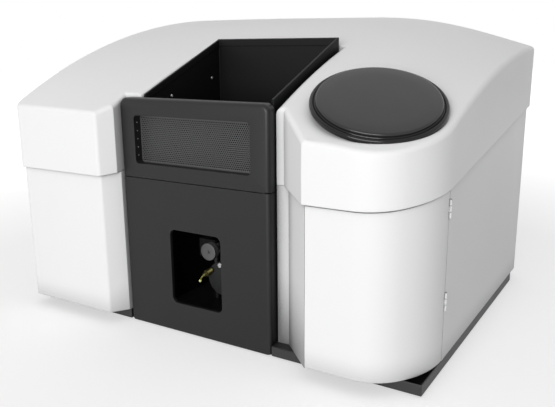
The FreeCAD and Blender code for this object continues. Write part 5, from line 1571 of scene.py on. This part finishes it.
@dataclass
class Studio:
    """The floor, the light and the camera."""

    eye: Vector = field(default_factory=lambda: Vector((0.609, -1.025, 0.455)))
    yaw: float = math.radians(-31.41)
    dip: float = math.radians(13.57)
    roll: float = math.radians(0.47)
    lens: float = 42.81
    sensor_width: float = 36.0
    clip: tuple[float, float] = (0.02, 60.0)
    skyline: float = 0.235
    zenith: float = 0.61
    key_power: float = 228.0
    key_size: tuple[float, float] = (4.0, 2.6)
    key_spot: Vector = field(default_factory=lambda: Vector((0.9, -4.95, 1.0)))
    key_aim: Vector = field(default_factory=lambda: Vector((0.0, 0.0, 0.25)))
    floor_shade: float = 0.6
    floor_lift: float = 0.49
    floor_edge_lift: float = 0.9
    floor_rings: tuple[float, ...] = (0.0, 0.6, 1.5, 4.0, 12.0)
    floor_drop: float = 0.0005
    floor_sides: int = 96
    near_ring: float = 0.7
    far_ring: float = 2.2

    def build(self) -> list[bpy.types.Object]:
        """Sets up the whole studio.

        Returns:
            The floor, the lamp and the camera.
        """
        self._surroundings()
        return [self._floor(), self._key(), self._camera()]

    def _surroundings(self) -> None:
        """Lights the object evenly from all round, in front of a white background."""
        world = bpy.data.worlds.new("pale studio")
        bpy.context.scene.world = world
        world.use_nodes = True
        world.node_tree.nodes.clear()
        wiring = Wiring(world.node_tree)
        look = wiring.place("ShaderNodeTexCoord").outputs["Generated"]
        height = wiring.place("ShaderNodeSeparateXYZ", {0: look}).outputs["Z"]
        strength = wiring.ramp(height, 0.0, 1.0, self.skyline, self.zenith)
        soft, white = (
            wiring.place("ShaderNodeBackground", {"Color": WHITE, "Strength": level}).outputs[0]
            for level in (strength, 1.0)
        )
        either = wiring.place("ShaderNodeMixShader", {0: wiring.open_rays(), 1: soft, 2: white}).outputs[0]
        wiring.place("ShaderNodeOutputWorld", {"Surface": either})

    def _floor(self) -> bpy.types.Object:
        """Lays a wide round floor that keeps the object's shadow and turns white far away.

        Returns:
            The floor.
        """
        profile = [(radius, 0.0) for radius in self.floor_rings]
        mesh = turned(profile, self.floor_sides, Matrix.Translation((0.0, 0.0, -self.floor_drop)))
        data = bpy.data.meshes.new("studio_floor")
        mesh.to_mesh(data)
        mesh.free()
        floor = bpy.data.objects.new("studio_floor", data)
        bpy.context.scene.collection.objects.link(floor)
        data.materials.append(self._floor_paint())
        return floor

    def _floor_paint(self) -> bpy.types.Material:
        """Mixes the floor's pale paint.

        Returns:
            The material.
        """
        paint = bpy.data.materials.new("pale floor")
        paint.use_nodes = True
        paint.node_tree.nodes.clear()
        wiring = Wiring(paint.node_tree)
        reach = wiring.place("ShaderNodeVectorMath", {0: wiring.spot()}, operation="LENGTH").outputs["Value"]
        far = wiring.ramp(reach, self.near_ring, self.far_ring, self.floor_lift, self.floor_edge_lift)
        strength = wiring.reckon("MULTIPLY", wiring.open_rays(), far)
        glow = wiring.place("ShaderNodeEmission", {"Strength": strength}).outputs[0]
        matt = wiring.place("ShaderNodeBsdfDiffuse", {"Color": grey(self.floor_shade)}).outputs[0]
        both = wiring.place("ShaderNodeAddShader", {0: matt, 1: glow}).outputs[0]
        wiring.place("ShaderNodeOutputMaterial", {"Surface": both})
        return paint

    def _key(self) -> bpy.types.Object:
        """Hangs one large soft lamp in front, a little to the right and above.

        Returns:
            The lamp.
        """
        light = bpy.data.lights.new("front_softbox", "AREA")
        light.shape = "RECTANGLE"
        light.size, light.size_y = self.key_size
        light.energy = self.key_power
        lamp = bpy.data.objects.new("front_softbox", light)
        bpy.context.scene.collection.objects.link(lamp)
        lamp.location = self.key_spot
        lamp.rotation_euler = (self.key_aim - self.key_spot).to_track_quat("-Z", "Y").to_euler()
        return lamp

    def _camera(self) -> bpy.types.Object:
        """Stands the camera where the photograph was taken from.

        Returns:
            The camera.
        """
        lens = bpy.data.cameras.new("portrait_camera")
        lens.lens = self.lens
        lens.sensor_width = self.sensor_width
        lens.sensor_fit = "HORIZONTAL"
        lens.clip_start, lens.clip_end = self.clip
        camera = bpy.data.objects.new("portrait_camera", lens)
        bpy.context.scene.collection.objects.link(camera)
        ahead = Vector((
            math.sin(self.yaw) * math.cos(self.dip), math.cos(self.yaw) * math.cos(self.dip), -math.sin(self.dip),
        ))
        right = Vector((math.cos(self.yaw), -math.sin(self.yaw), 0.0))
        down = ahead.cross(right)
        right_rolled = right * math.cos(self.roll) + down * math.sin(self.roll)
        down_rolled = down * math.cos(self.roll) - right * math.sin(self.roll)
        stand = Matrix((right_rolled, -down_rolled, -ahead)).transposed().to_4x4()
        stand.translation = self.eye
        camera.matrix_world = stand
        bpy.context.scene.camera = camera
        return camera


def main() -> None:
    """Builds the sub-assemblies in order, then the studio, and reports each piece."""
    logging.basicConfig(level=logging.INFO, format="%(message)s")
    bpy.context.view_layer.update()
    bpy.context.scene.view_settings.view_transform = "Standard"
    shop = Workshop()
    order = (
        Base, Casings, TopCover, LampLid, BurnerWell, FrontPanels, Burner, LampTurret, Optics, Electronics,
        RearConnections, CoolingFan,
    )
    for kind in order:
        assembly = kind(shop)
        assembly.dress()
        made = assembly.build()
        LOG.info("%s: dressed %s; made %s", kind.__name__, sorted(assembly.nodes), [piece.name for piece in made])
    for piece in Studio().build():
        LOG.info("Studio: %s", piece.name)


if __name__ == "__main__":
    main()
